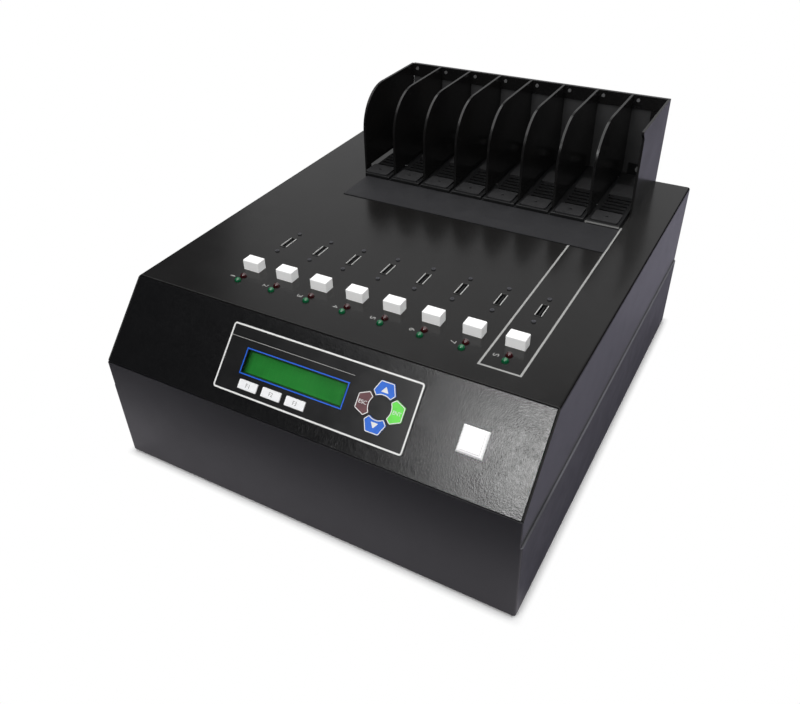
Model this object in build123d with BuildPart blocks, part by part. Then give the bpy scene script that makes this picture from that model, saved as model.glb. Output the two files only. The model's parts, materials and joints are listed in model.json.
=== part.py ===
"""A hard drive duplicator: a steel case with a sloping control plate, and an open rack of eight bays.

Millimetres. +X is right and +Y is back, seen from the front, and +Z is up. The origin is on the
floor, under the middle of the whole object.
"""
import os
from math import cos, hypot, radians, sin

from build123d import *

os.makedirs("parts", exist_ok=True)

# Case
case_depth = 388.0
base_width = 341.0
case_height = 142.0
front_height = 91.0
slant_depth = 50.0
seam_height = 68.0
lap_depth = 12.0
sheet = 1.2
lap_gap = 0.1
corner_radius = 2.0
wall_edge_radius = 0.9
flange_depth = 11.0
flange_tuck = 0.6
foot_height = 3.0
foot_radius = 9.0
foot_inset = 22.0
foot_chamfer = 0.6

# Control plate and membrane panel
plate_thickness = 1.5
plate_side_gap = 0.6
plate_end_gap = 1.0
panel_s = 36.0
overlay_x = 6.5
overlay_length = 154.0
overlay_height = 49.4
overlay_thickness = 0.8
overlay_radius = 2.5

# Display
lcd_x = -10.2
lcd_bezel_length = 84.9
lcd_bezel_height = 19.0
lcd_bezel_rim = 1.3
lcd_bezel_proud = 0.2
lcd_bezel_gap = 0.1
lcd_pane_length = 86.4
lcd_pane_height = 20.6
lcd_frame_length = 98.5
lcd_frame_height = 23.0
lcd_frame_depth = 6.0
lcd_frame_wall = 1.0
lcd_lip = 0.6
lcd_view_length = 83.6
lcd_view_height = 18.0
lcd_board_length = 114.0
lcd_board_height = 36.0
lcd_boss_x = 54.0
lcd_boss_s = 14.5
glass_gap = 0.2

# Keys of the panel
key_clearance = 0.25
key_proud = 0.6
key_flange = 0.55
key_flange_thickness = 0.85
key_rest_gap = 0.25
key_edge = 0.25
f_key_length = 15.8
f_key_height = 6.7
f_key_pitch = 20.0
f_key_first_x = -42.0
f_key_s = 19.75
f_key_corner = 0.5
ring_x = 58.5
ring_s = 36.3
ring_outer = 17.5
ring_outer_half = 5.0
ring_side = 9.9
ring_side_half = 8.4
ring_inner = 6.4
ring_inner_half = 5.3
ring_arc = 8.2
ring_corner = 1.0
ring_switch_radius = 12.2
key_board_depth = 5.0
key_board_thickness = 1.2
key_strip_margin = 6.0
key_strip_height = 11.0
key_strip_drop = 2.0
key_field_length = 38.0
key_field_height = 43.0
key_stud_offset = 8.0
tact_side = 4.6
tact_height = 1.2
tact_plunger_radius = 1.2
tact_plunger = 0.5

# Power button
power_margin = 45.8
power_s = 35.6
power_rim = 17.8
power_rim_height = 1.8
power_rim_chamfer = 1.1
power_body = 15.8
power_body_depth = 16.0
power_hole_gap = 0.15
power_cap = 14.0
power_cap_gap = 0.1
power_cap_proud = 2.8
power_cap_below = 6.0
power_bore_depth = 8.0
power_cap_edge = 0.6

# Bays, select buttons, lamps and ports, in columns across the cover
bay_count = 8
bay_pitch = 31.0
bay_centre_x = 13.5
button_row = 98.0
button_width = 14.1
button_depth = 9.4
button_proud = 7.8
button_below = 2.6
button_gap = 0.4
button_edge = 0.7
stem_side = 3.4
stem_gap = 0.1
stem_length = 5.4
stem_bore_extra = 2.0
switch_width = 12.0
switch_depth = 9.0
switch_height = 6.0
button_board_depth = 11.0
button_board_front = 68.0
button_board_back = 112.0
button_board_margin = 14.0
board_stud_inset = 5.0
board_thickness = 1.6
green_row = 77.1
red_row = 83.9
led_radius = 2.45
led_hole_gap = 0.25
led_rim_radius = 2.9
led_rim_thickness = 1.0
led_below = 5.0
led_straight = 0.3
led_lead = 0.5
led_lead_pitch = 2.54
port_row = 142.5
port_width = 5.4
port_length = 16.0
port_wall = 0.5
port_proud = 0.4
port_depth = 11.5
port_gap = 0.2
port_ear_width = 7.4
port_ear_length = 38.0
port_ear_thickness = 1.2
port_floor = 3.5
port_tongue_width = 1.3
port_tongue_length = 11.6
port_tongue_recess = 0.8
port_screw_pitch = 31.0
port_screw_radius = 1.0
port_screw_gap = 0.2
port_screw_head = 1.6
port_screw_head_height = 0.8
port_screw_length = 4.4
recess_radius = 0.55
recess_depth = 0.4

# Rack on the cover
rack_height = 75.5
rack_depth = 97.5
panel_thickness = 2.0
rack_back_thickness = 1.5
rack_fit_gap = 0.1
divider_radius = 36.0
divider_foot = 8.0
divider_arch = 5.0
divider_tab_width = 28.4
divider_tab_height = 11.5
divider_tab_thickness = 1.5
right_panel_depth = 80.0
right_panel_nib = 5.3
right_panel_nib_edge = 2.0
right_flange_width = 12.0
right_flange_start = 18.0
right_flange_end = 12.0
tray_depth = 106.5
tray_height = 3.4
tray_left_inset = 4.5
tray_right_inset = 2.0
tray_edge_radius = 0.8
groove_gap = 0.2
groove_floor = 1.0
groove_extra = 1.0
lug_width = 20.0
lug_thickness = 1.2
lug_height = 14.0
pad_length = 22.5
front_pad_depth = 18.0
front_pad_offset = 0.5
rear_pad_depth = 23.5
rear_pad_offset = 52.0
pad_height = 1.6
pad_radius = 2.0
dimple_radius = 1.3
dimple_depth = 0.8
vent_length = 20.0
vent_width = 2.4
vent_pitch = 6.2
vent_rows = 5
vent_offset = 23.0
mat_depth = 41.5
mat_left_inset = 2.0
mat_right_inset = 0.5
mat_thickness = 0.6
mat_gap = 0.4

# Pan-head screws and the studs they run into
screw_radius = 1.5
screw_gap = 0.1
screw_head_radius = 2.7
screw_head_height = 1.6
screw_length = 5.0
screw_edge = 0.5
stud_radius = 2.6
tab_screw_side = 5.6
tab_screw_drop = 4.3
tab_screw_end = 0.6
lug_screw_height = 9.5
panel_screw_inset = 7.0
panel_screw_low = 24.0
panel_screw_high = 60.0
tray_screw_front = 31.0
tray_screw_rear = 94.0
supply_screw_inset = 10.0

# Fan in the rear wall
fan_margin = 95.5
fan_height = 72.0
fan_side = 80.0
fan_depth = 25.0
fan_bore = 38.0
fan_opening = 37.0
fan_screw_pitch = 71.5
fan_corner_radius = 4.0
fan_hub_radius = 17.0
fan_hub_plate = 3.0
fan_strut_width = 5.0
fan_shaft_radius = 1.5
fan_shaft_gap = 0.05
fan_shaft_length = 4.5
fan_rotor_length = 17.0
fan_rotor_inset = 3.0
fan_tip_gap = 1.4
fan_blade_count = 7
fan_blade_thickness = 1.6
fan_blade_chord = 19.0
fan_blade_angle = 48.0
guard_wire = 0.5
guard_rings = 4
guard_first_ring = 10.0
guard_ring_step = 8.5
guard_eye_radius = 3.6

# Mains inlet and rocker switch
inlet_margin = 50.5
inlet_height = 66.0
inlet_flange_width = 30.0
inlet_flange_height = 52.0
inlet_flange_thickness = 1.6
inlet_flange_radius = 2.0
inlet_body_width = 27.0
inlet_body_height = 48.0
inlet_body_depth = 22.0
inlet_hole_gap = 0.2
socket_width = 24.4
socket_height = 16.8
socket_depth = 17.0
socket_drop = 11.5
socket_chamfer = 4.0
blade_width = 2.0
blade_height = 4.0
blade_length = 11.0
blade_spread = 7.0
blade_drop = 2.0
earth_rise = 2.5
rocker_rise = 12.0
rocker_width = 12.2
rocker_side_gap = 0.3
rocker_half = 9.2
rocker_end = 3.2
rocker_waist = 1.6
rocker_back = 3.0
rocker_back_half = 6.5
rocker_end_gap = 0.5
rocker_pocket = 5.2
rocker_pivot_inset = 2.2
rocker_pin_radius = 1.2
rocker_pin_gap = 0.05
rocker_pin_length = 1.3
rocker_tilt = 10.0

# Power supply and main board
supply_width = 100.0
supply_length = 185.0
supply_height = 42.0
supply_margin = 60.5
supply_rear_gap = 45.0
supply_wall = 1.2
supply_vents = 9
supply_vent_pitch = 9.0
supply_vent_width = 3.0
supply_vent_length = 60.0
terminal_width = 60.0
terminal_height = 16.0
terminal_depth = 12.0
main_board_width = 170.0
main_board_length = 190.0
main_board_x = 55.0
main_board_front = 95.0
standoff_height = 6.0
standoff_inset = 6.0
chip_side = 40.0
chip_height = 2.5
sink_side = 45.0
sink_base = 5.0
sink_height = 25.0
sink_fins = 9
sink_fin_thickness = 1.5
sink_x = 30.0
sink_row = 235.0
header_width = 16.0
header_depth = 6.5
header_height = 8.5
header_row = 130.0
header_pitch = 20.0
capacitor_radius = 5.0
capacitor_height = 14.0
capacitor_row = 272.0
capacitor_pitch = 16.0
capacitor_count = 6
memory_width = 6.0
memory_length = 68.0
memory_height = 31.0
memory_x = 105.0

# Places that follow from the sizes
rear_reach = 2 * guard_wire + screw_head_height
front_y = -(case_depth + rear_reach) / 2
rear_y = front_y + case_depth
base_z = foot_height
floor_z = base_z + sheet
seam_z = base_z + seam_height
knee_z = base_z + front_height
top_z = base_z + case_height
under_z = top_z - sheet
middle_y = (front_y + rear_y) / 2
knee_back_y = front_y + slant_depth
wall_back_y = rear_y - sheet
cover_width = base_width - 2 * (sheet + lap_gap)
cover_inside = cover_width - 2 * sheet
plate_width = cover_inside - 2 * plate_side_gap
power_x = base_width / 2 - power_margin
fan_x = base_width / 2 - fan_margin
inlet_x = inlet_margin - base_width / 2
supply_x = supply_margin - base_width / 2
slant_rise = case_height - front_height
slant_length = hypot(slant_depth, slant_rise)
columns = [bay_centre_x + (i - (bay_count - 1) / 2) * bay_pitch for i in range(bay_count)]
between_bays = [bay_centre_x + (i - bay_count / 2) * bay_pitch for i in range(1, bay_count)]
left_panel_x = bay_centre_x - bay_count * bay_pitch / 2
right_panel_x = bay_centre_x + bay_count * bay_pitch / 2
rack_top = top_z + rack_height
rack_front_y = rear_y - rack_depth
rack_inner_y = rear_y - rack_back_thickness
panel_rear_y = rack_inner_y - rack_fit_gap
tray_front_y = rear_y - tray_depth
tray_left = left_panel_x + tray_left_inset
tray_right = right_panel_x - tray_right_inset
tray_top = top_z + tray_height
screw_hole = screw_radius + screw_gap
button_board_z = top_z - button_board_depth
main_board_z = floor_z + standoff_height
main_board_top = main_board_z + board_thickness
fan_z = base_z + fan_height
inlet_z = base_z + inlet_height
pivot_y = rear_y - rocker_pivot_inset
rocker_z = inlet_z + rocker_rise
socket_z = inlet_z - socket_drop
supply_back_y = rear_y - supply_rear_gap
supply_middle_y = supply_back_y - supply_length / 2

slant = Plane(
    origin=(0, front_y, knee_z),
    x_dir=(1, 0, 0),
    z_dir=(0, -slant_rise / slant_length, slant_depth / slant_length),
)
slant_out = Axis(slant.origin, slant.z_dir)
rear_face = Plane(origin=(0, rear_y, 0), x_dir=(1, 0, 0), z_dir=(0, -1, 0))
cover_top = Plane.XY.offset(top_z)
plate_back = slant.offset(-plate_thickness)
key_board_face = slant.offset(-key_board_depth)


def row(distance):
    """The y of a row that lies this far behind the front face."""
    return front_y + distance


def on_slope(along, out):
    """The (y, z) of a point on the slope: along it from the knee, and out from its surface."""
    y = front_y + (along * slant_depth - out * slant_rise) / slant_length
    z = knee_z + (along * slant_rise + out * slant_depth) / slant_length
    return y, z


def slope_strip(start, end):
    """The corners of a strip of sheet that lies against the back of the control plate."""
    front = -plate_thickness
    back = front - sheet
    return [on_slope(start, front), on_slope(end, front), on_slope(end, back), on_slope(start, back)]


def f_key_outline(number, grow):
    """The outline of one function key, larger all round by grow."""
    with BuildSketch() as outline:
        with Locations((f_key_first_x + number * f_key_pitch, f_key_s)):
            RectangleRounded(f_key_length + 2 * grow, f_key_height + 2 * grow, f_key_corner + grow)
    return outline.sketch


def ring_key_outline(angle, grow):
    """The outline of the ring key at this angle round the centre, larger all round by grow."""

    def turned(out, side):
        """A point of the ring key, from its distance outward and sideways."""
        c = cos(radians(angle))
        s = sin(radians(angle))
        return ring_x + out * c - side * s, ring_s + out * s + side * c

    with BuildSketch() as outline:
        with BuildLine():
            Polyline(
                turned(ring_inner, ring_inner_half),
                turned(ring_side, ring_side_half),
                turned(ring_outer, ring_outer_half),
                turned(ring_outer, -ring_outer_half),
                turned(ring_side, -ring_side_half),
                turned(ring_inner, -ring_inner_half),
            )
            ThreePointArc(
                turned(ring_inner, ring_inner_half), turned(ring_arc, 0), turned(ring_inner, -ring_inner_half)
            )
        make_face()
        fillet(outline.vertices(), ring_corner)
        if grow > 0:
            offset(amount=grow)
    return outline.sketch


ring_angles = {"key_up": 90, "key_enter": 0, "key_down": 270, "key_esc": 180}


def key_outlines(grow):
    """The outlines of all panel keys by name, larger all round by grow."""
    outlines = {f"key_f{number + 1}": f_key_outline(number, grow) for number in range(3)}
    outlines |= {name: ring_key_outline(angle, grow) for name, angle in ring_angles.items()}
    return outlines


key_caps = key_outlines(0)
key_holes = key_outlines(key_clearance)
key_flanges = key_outlines(key_flange)

# Places of repeated features
tact_places = [(f_key_first_x + number * f_key_pitch, f_key_s) for number in range(3)]
tact_places += [
    (ring_x + ring_switch_radius * cos(radians(angle)), ring_s + ring_switch_radius * sin(radians(angle)))
    for angle in ring_angles.values()
]
lcd_studs = [(lcd_x + i * lcd_boss_x, panel_s + j * lcd_boss_s) for i in (-1, 1) for j in (-1, 1)]
key_strip_left = f_key_first_x - f_key_length / 2 - key_strip_margin
key_studs = [
    (key_strip_left + stud_radius, f_key_s - key_strip_drop - key_strip_height / 2 + stud_radius),
    (ring_x - key_stud_offset, ring_s + key_field_height / 2 - stud_radius),
    (ring_x + key_field_length / 2 - stud_radius, ring_s + key_field_height / 2 - stud_radius),
    (ring_x + key_field_length / 2 - stud_radius, ring_s - key_field_height / 2 + stud_radius),
]
stud_columns = [bay_centre_x + i * bay_pitch for i in (-3, 0, 3)]
button_studs = [
    (x, row(y))
    for x in stud_columns
    for y in (button_board_front + board_stud_inset, button_board_back - board_stud_inset)
]
button_places = [(x, row(button_row)) for x in columns]
port_places = [(x, row(port_row)) for x in columns]
port_screw_places = [
    (x, row(port_row) + side * port_screw_pitch / 2) for x in columns for side in (-1, 1)
]
vent_places = [(x, tray_front_y + vent_offset + i * vent_pitch) for x in columns for i in range(vent_rows)]
tray_screws = [(x, tray_front_y + y) for x in stud_columns for y in (tray_screw_front, tray_screw_rear)]
tab_screws = [(x + tab_screw_side, rack_top - tab_screw_drop) for x in (left_panel_x, *between_bays)]
lug_screws = [(x, top_z + lug_screw_height) for x in columns]
panel_screws = [
    (right_panel_x - panel_thickness / 2 - panel_screw_inset, top_z + z)
    for z in (panel_screw_low, panel_screw_high)
]
fan_screws = [
    (fan_x + i * fan_screw_pitch / 2, fan_z + j * fan_screw_pitch / 2) for i in (-1, 1) for j in (-1, 1)
]
cover_screws = [(cover_inside * share, under_z - flange_depth / 2) for share in (-0.45, -0.2, 0, 0.2, 0.45)]
supply_screws = [
    (
        supply_x + i * (supply_width / 2 - supply_screw_inset),
        supply_middle_y + j * (supply_length / 2 - supply_screw_inset),
    )
    for i in (-1, 1)
    for j in (-1, 1)
]
main_board_y = row(main_board_front + main_board_length / 2)
standoff_places = [
    (
        main_board_x + i * (main_board_width / 2 - standoff_inset),
        main_board_y + j * (main_board_length / 2 - standoff_inset),
    )
    for i in (-1, 1)
    for j in (-1, 0, 1)
]

# Lower case: bottom, low sides, front wall up to the knee and rear wall up to the cover
with BuildPart() as base_chassis:
    with BuildSketch(Plane.XY.offset(base_z)):
        with Locations((0, middle_y)):
            RectangleRounded(base_width, case_depth, corner_radius)
    extrude(amount=seam_height)
    with BuildSketch(Plane.XY.offset(floor_z)):
        with Locations((0, middle_y)):
            Rectangle(base_width - 2 * sheet, case_depth - 2 * sheet)
    extrude(amount=seam_height, mode=Mode.SUBTRACT)
    with BuildSketch(Plane.XY.offset(seam_z)) as front_wall:
        with Locations((0, front_y + sheet / 2)):
            Rectangle(cover_width, sheet)
        fillet(front_wall.vertices().group_by(Axis.Y)[0], wall_edge_radius)
    extrude(amount=front_height - seam_height)
    with BuildSketch(Plane.XY.offset(seam_z)):
        with Locations((0, rear_y - sheet / 2)):
            Rectangle(cover_width, sheet)
    extrude(amount=under_z - seam_z)
    with BuildSketch(Plane.YZ):
        with BuildLine():
            Polyline(*slope_strip(-flange_tuck, flange_depth), close=True)
        make_face()
    extrude(amount=plate_width / 2, both=True)
    with BuildSketch(rear_face):
        with Locations((fan_x, fan_z)):
            Circle(fan_opening)
        with Locations(*fan_screws, *cover_screws):
            Circle(screw_hole)
        with Locations((inlet_x, inlet_z)):
            Rectangle(inlet_body_width + 2 * inlet_hole_gap, inlet_body_height + 2 * inlet_hole_gap)
    extrude(amount=sheet, mode=Mode.SUBTRACT)
    with BuildSketch(Plane.XY.offset(base_z)):
        with Locations(*supply_screws):
            Circle(screw_hole)
    extrude(amount=sheet, mode=Mode.SUBTRACT)
base_chassis.part.label = "base_chassis"
export_step(base_chassis.part, "parts/base_chassis.step")

# Room inside the cover, taken out of it below
with BuildPart() as cover_room:
    with BuildSketch(Plane.YZ):
        with BuildLine():
            Polyline(
                (front_y, base_z),
                (front_y, rack_top),
                (knee_back_y, rack_top),
                (knee_back_y, under_z),
                (rear_y, under_z),
                (rear_y, base_z),
                close=True,
            )
        make_face()
    extrude(amount=cover_inside / 2, both=True)
    inner_edges = cover_room.edges().filter_by(Axis.Y).group_by(Axis.Z)[1]
    fillet(inner_edges, corner_radius - sheet)

# Upper case: top, sides down into the lower case, and flanges behind the plate and the rear wall
with BuildPart() as top_cover:
    with BuildSketch(Plane.YZ):
        with BuildLine():
            Polyline(
                (front_y + sheet + lap_gap, seam_z - lap_depth),
                (front_y + sheet + lap_gap, knee_z + (sheet + lap_gap) * slant_rise / slant_depth),
                (knee_back_y, top_z),
                (rear_y, top_z),
                (rear_y, under_z),
                (wall_back_y - lap_gap, under_z),
                (wall_back_y - lap_gap, seam_z - lap_depth),
                close=True,
            )
        make_face()
    extrude(amount=cover_width / 2, both=True)
    long_edges = top_cover.edges().filter_by(Axis.Y).group_by(Axis.Z)[-1]
    fillet(long_edges, corner_radius)
    add(cover_room.part, mode=Mode.SUBTRACT)
    with BuildSketch(Plane.YZ):
        with BuildLine():
            Polyline(*slope_strip(slant_length - flange_depth, slant_length + flange_tuck), close=True)
        make_face()
    extrude(amount=plate_width / 2, both=True)
    with BuildSketch(Plane.XY.offset(under_z - flange_depth)):
        with Locations((0, wall_back_y - sheet / 2)):
            Rectangle(plate_width, sheet)
    extrude(amount=flange_depth)
    with BuildSketch(Plane.XY.offset(button_board_z)):
        with Locations(*button_studs):
            Circle(stud_radius)
    extrude(amount=under_z - button_board_z)
    with BuildSketch(Plane.XY.offset(button_board_z)):
        with Locations(*button_studs):
            Circle(screw_hole)
    extrude(amount=screw_length - board_thickness, mode=Mode.SUBTRACT)
    with BuildSketch(cover_top):
        with Locations(*button_places):
            Rectangle(button_width + 2 * button_gap, button_depth + 2 * button_gap)
        with Locations(*[(x, row(y)) for x in columns for y in (green_row, red_row)]):
            Circle(led_radius + led_hole_gap)
        with Locations(*port_places):
            Rectangle(port_width + 2 * port_gap, port_length + 2 * port_gap)
        with Locations(*port_screw_places):
            Circle(port_screw_radius + port_screw_gap)
        with Locations(*vent_places):
            Rectangle(vent_length, vent_width)
        with Locations(*tray_screws):
            Circle(screw_hole)
    extrude(amount=-sheet, mode=Mode.SUBTRACT)
    with BuildSketch(rear_face.offset(sheet)):
        with Locations(*cover_screws):
            Circle(screw_hole)
    extrude(amount=sheet, mode=Mode.SUBTRACT)
top_cover.part.label = "top_cover"
export_step(top_cover.part, "parts/top_cover.step")

# Sloping control plate with its openings and the studs for the boards behind it
with BuildPart() as control_plate:
    with BuildSketch(slant):
        with Locations((0, slant_length / 2)):
            Rectangle(plate_width, slant_length - 2 * plate_end_gap)
    extrude(amount=-plate_thickness)
    with BuildSketch(plate_back):
        with Locations(*lcd_studs):
            Circle(stud_radius)
    extrude(amount=-lcd_frame_depth)
    with BuildSketch(plate_back):
        with Locations(*key_studs):
            Circle(stud_radius)
    extrude(amount=-(key_board_depth - plate_thickness))
    with BuildSketch(plate_back):
        with Locations(*lcd_studs, *key_studs):
            Circle(screw_hole)
    extrude(amount=-lcd_frame_depth, mode=Mode.SUBTRACT)
    with BuildSketch(slant):
        with Locations((lcd_x, panel_s)):
            Rectangle(lcd_pane_length + 2 * glass_gap, lcd_pane_height + 2 * glass_gap)
        with Locations((power_x, power_s)):
            Rectangle(power_body + 2 * power_hole_gap, power_body + 2 * power_hole_gap)
        for outline in key_holes.values():
            add(outline)
    extrude(amount=-plate_thickness, mode=Mode.SUBTRACT)
control_plate.part.label = "control_plate"
export_step(control_plate.part, "parts/control_plate.step")

# Membrane panel stuck on the plate
with BuildPart() as control_overlay:
    with BuildSketch(slant):
        with Locations((overlay_x, panel_s)):
            RectangleRounded(overlay_length, overlay_height, overlay_radius)
        with Locations((lcd_x, panel_s)):
            Rectangle(
                lcd_bezel_length + 2 * lcd_bezel_gap, lcd_bezel_height + 2 * lcd_bezel_gap, mode=Mode.SUBTRACT
            )
        for outline in key_holes.values():
            add(outline, mode=Mode.SUBTRACT)
    extrude(amount=overlay_thickness)
control_overlay.part.label = "control_overlay"
export_step(control_overlay.part, "parts/control_overlay.step")

# Display: coloured rim, clear window, metal frame, glass and board
with BuildPart() as lcd_bezel:
    with BuildSketch(slant):
        with Locations((lcd_x, panel_s)):
            Rectangle(lcd_bezel_length, lcd_bezel_height)
            Rectangle(
                lcd_bezel_length - 2 * lcd_bezel_rim, lcd_bezel_height - 2 * lcd_bezel_rim, mode=Mode.SUBTRACT
            )
    extrude(amount=overlay_thickness + lcd_bezel_proud)
lcd_bezel.part.label = "lcd_bezel"
export_step(lcd_bezel.part, "parts/lcd_bezel.step")

with BuildPart() as lcd_window:
    with BuildSketch(slant):
        with Locations((lcd_x, panel_s)):
            Rectangle(lcd_pane_length, lcd_pane_height)
    extrude(amount=-plate_thickness)
lcd_window.part.label = "lcd_window"
export_step(lcd_window.part, "parts/lcd_window.step")

lcd_room_length = lcd_frame_length - 2 * lcd_frame_wall
lcd_room_height = lcd_frame_height - 2 * lcd_frame_wall
with BuildPart() as lcd_frame:
    with BuildSketch(plate_back):
        with Locations((lcd_x, panel_s)):
            Rectangle(lcd_frame_length, lcd_frame_height)
            Rectangle(lcd_view_length, lcd_view_height, mode=Mode.SUBTRACT)
    extrude(amount=-lcd_frame_depth)
    with BuildSketch(plate_back.offset(-lcd_lip)):
        with Locations((lcd_x, panel_s)):
            Rectangle(lcd_room_length, lcd_room_height)
    extrude(amount=-lcd_frame_depth, mode=Mode.SUBTRACT)
lcd_frame.part.label = "lcd_frame"
export_step(lcd_frame.part, "parts/lcd_frame.step")

with BuildPart() as lcd_screen:
    with BuildSketch(plate_back.offset(-lcd_lip)):
        with Locations((lcd_x, panel_s)):
            Rectangle(lcd_room_length - 2 * glass_gap, lcd_room_height - 2 * glass_gap)
    extrude(amount=-(lcd_frame_depth - lcd_lip))
lcd_screen.part.label = "lcd_screen"
export_step(lcd_screen.part, "parts/lcd_screen.step")

with BuildPart() as lcd_board:
    with BuildSketch(plate_back.offset(-lcd_frame_depth)):
        with Locations((lcd_x, panel_s)):
            Rectangle(lcd_board_length, lcd_board_height)
        with Locations(*lcd_studs):
            Circle(screw_hole, mode=Mode.SUBTRACT)
    extrude(amount=-board_thickness)
lcd_board.part.label = "lcd_board"
export_step(lcd_board.part, "parts/lcd_board.step")

# Keys of the panel: a cap through the plate, held in by a flange behind it
key_back = -(plate_thickness + key_rest_gap)
for name, cap in key_caps.items():
    with BuildPart() as panel_key:
        with BuildSketch(slant.offset(key_back)):
            add(cap)
        extrude(amount=overlay_thickness + key_proud - key_back)
        fillet(panel_key.faces().sort_by(slant_out)[-1].edges(), key_edge)
        with BuildSketch(slant.offset(key_back)):
            add(key_flanges[name])
        extrude(amount=-key_flange_thickness)
    panel_key.part.label = name
    export_step(panel_key.part, f"parts/{name}.step")

# Board behind the keys, with one small switch under each key
with BuildPart() as keypad_board:
    with BuildSketch(key_board_face):
        with Locations(((key_strip_left + ring_x) / 2, f_key_s - key_strip_drop)):
            Rectangle(ring_x - key_strip_left, key_strip_height)
        with Locations((ring_x, ring_s)):
            Rectangle(key_field_length, key_field_height)
        with Locations((lcd_x, panel_s)):
            Rectangle(
                lcd_frame_length + 2 * glass_gap, lcd_frame_height + 2 * glass_gap, mode=Mode.SUBTRACT
            )
        with Locations(*lcd_studs):
            Circle(stud_radius + glass_gap, mode=Mode.SUBTRACT)
        with Locations(*key_studs):
            Circle(screw_hole, mode=Mode.SUBTRACT)
    extrude(amount=-key_board_thickness)
keypad_board.part.label = "keypad_board"
export_step(keypad_board.part, "parts/keypad_board.step")

with BuildPart() as keypad_switches:
    with BuildSketch(key_board_face):
        with Locations(*tact_places):
            Rectangle(tact_side, tact_side)
    extrude(amount=tact_height)
    with BuildSketch(key_board_face.offset(tact_height)):
        with Locations(*tact_places):
            Circle(tact_plunger_radius)
    extrude(amount=tact_plunger)
keypad_switches.part.label = "keypad_switches"
export_step(keypad_switches.part, "parts/keypad_switches.step")

# Power button: a housing with a bevelled rim, and the cap that slides in it
with BuildPart() as power_button_housing:
    with BuildSketch(slant):
        with Locations((power_x, power_s)):
            Rectangle(power_rim, power_rim)
    extrude(amount=power_rim_height)
    chamfer(power_button_housing.faces().sort_by(slant_out)[-1].edges(), power_rim_chamfer)
    with BuildSketch(slant):
        with Locations((power_x, power_s)):
            Rectangle(power_body, power_body)
    extrude(amount=-power_body_depth)
    with BuildSketch(slant.offset(-power_bore_depth)):
        with Locations((power_x, power_s)):
            Rectangle(power_cap + 2 * power_cap_gap, power_cap + 2 * power_cap_gap)
    extrude(amount=power_bore_depth + power_rim_height, mode=Mode.SUBTRACT)
power_button_housing.part.label = "power_button_housing"
export_step(power_button_housing.part, "parts/power_button_housing.step")

with BuildPart() as power_button:
    with BuildSketch(slant.offset(-power_cap_below)):
        with Locations((power_x, power_s)):
            Rectangle(power_cap, power_cap)
    extrude(amount=power_cap_below + power_cap_proud)
    fillet(power_button.faces().sort_by(slant_out)[-1].edges(), power_cap_edge)
power_button.part.label = "power_button"
export_step(power_button.part, "parts/power_button.step")

# Select buttons, one for each bay
for number, x in enumerate(columns, 1):
    with BuildPart() as select_button:
        with BuildSketch(cover_top.offset(-button_below)):
            with Locations((x, row(button_row))):
                Rectangle(button_width, button_depth)
        extrude(amount=button_below + button_proud)
        fillet(select_button.edges().filter_by(Axis.Z), button_edge)
        fillet(select_button.faces().sort_by(Axis.Z)[-1].edges(), button_edge)
        with BuildSketch(cover_top.offset(-button_below - stem_length)):
            with Locations((x, row(button_row))):
                Rectangle(stem_side, stem_side)
        extrude(amount=stem_length)
    select_button.part.label = f"select_button_{number}"
    export_step(select_button.part, f"parts/select_button_{number}.step")

# Board under the buttons, with their switches
with BuildPart() as button_board:
    with BuildSketch(Plane.XY.offset(button_board_z)):
        with Locations((bay_centre_x, row((button_board_front + button_board_back) / 2))):
            Rectangle(
                (bay_count - 1) * bay_pitch + 2 * button_board_margin, button_board_back - button_board_front
            )
        with Locations(*button_studs):
            Circle(screw_hole, mode=Mode.SUBTRACT)
    extrude(amount=-board_thickness)
button_board.part.label = "button_board"
export_step(button_board.part, "parts/button_board.step")

stem_bore = button_below + stem_length + stem_bore_extra
with BuildPart() as select_switches:
    with BuildSketch(Plane.XY.offset(button_board_z)):
        with Locations(*button_places):
            Rectangle(switch_width, switch_depth)
    extrude(amount=switch_height)
    with BuildSketch(cover_top.offset(-stem_bore)):
        with Locations(*button_places):
            Rectangle(stem_side + 2 * stem_gap, stem_side + 2 * stem_gap)
    extrude(amount=stem_bore, mode=Mode.SUBTRACT)
select_switches.part.label = "select_switches"
export_step(select_switches.part, "parts/select_switches.step")

# Lamps: a green and a red one for each bay
for name, lamp_row in (("green_leds", green_row), ("red_leds", red_row)):
    lamp_y = row(lamp_row)
    lead_places = [(x + side * led_lead_pitch / 2, lamp_y) for x in columns for side in (-1, 1)]
    with BuildPart() as lamps:
        with BuildSketch(cover_top.offset(-led_below)):
            with Locations(*[(x, lamp_y) for x in columns]):
                Circle(led_radius)
        extrude(amount=led_below + led_straight)
        with Locations(*[(x, lamp_y, top_z + led_straight) for x in columns]):
            Sphere(led_radius)
        with BuildSketch(cover_top.offset(-led_below)):
            with Locations(*[(x, lamp_y) for x in columns]):
                Circle(led_rim_radius)
        extrude(amount=led_rim_thickness)
        with BuildSketch(Plane.XY.offset(button_board_z)):
            with Locations(*lead_places):
                Rectangle(led_lead, led_lead)
        extrude(amount=button_board_depth - led_below)
    lamps.part.label = name
    export_step(lamps.part, f"parts/{name}.step")

# Drive ports: a metal shell with fixing ears, its plastic insert and the two screws of each
port_top = cover_top.offset(port_proud)
port_room_width = port_width - 2 * port_wall
port_room_length = port_length - 2 * port_wall
with BuildPart() as port_shells:
    with BuildSketch(port_top):
        with Locations(*port_places):
            Rectangle(port_width, port_length)
    extrude(amount=-port_depth)
    with BuildSketch(Plane.XY.offset(under_z)):
        with Locations(*port_places):
            Rectangle(port_ear_width, port_ear_length)
        with Locations(*port_screw_places):
            Circle(port_screw_radius + port_screw_gap, mode=Mode.SUBTRACT)
    extrude(amount=-port_ear_thickness)
    with BuildSketch(port_top):
        with Locations(*port_places):
            Rectangle(port_room_width, port_room_length)
    extrude(amount=-port_depth, mode=Mode.SUBTRACT)
port_shells.part.label = "port_shells"
export_step(port_shells.part, "parts/port_shells.step")

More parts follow.
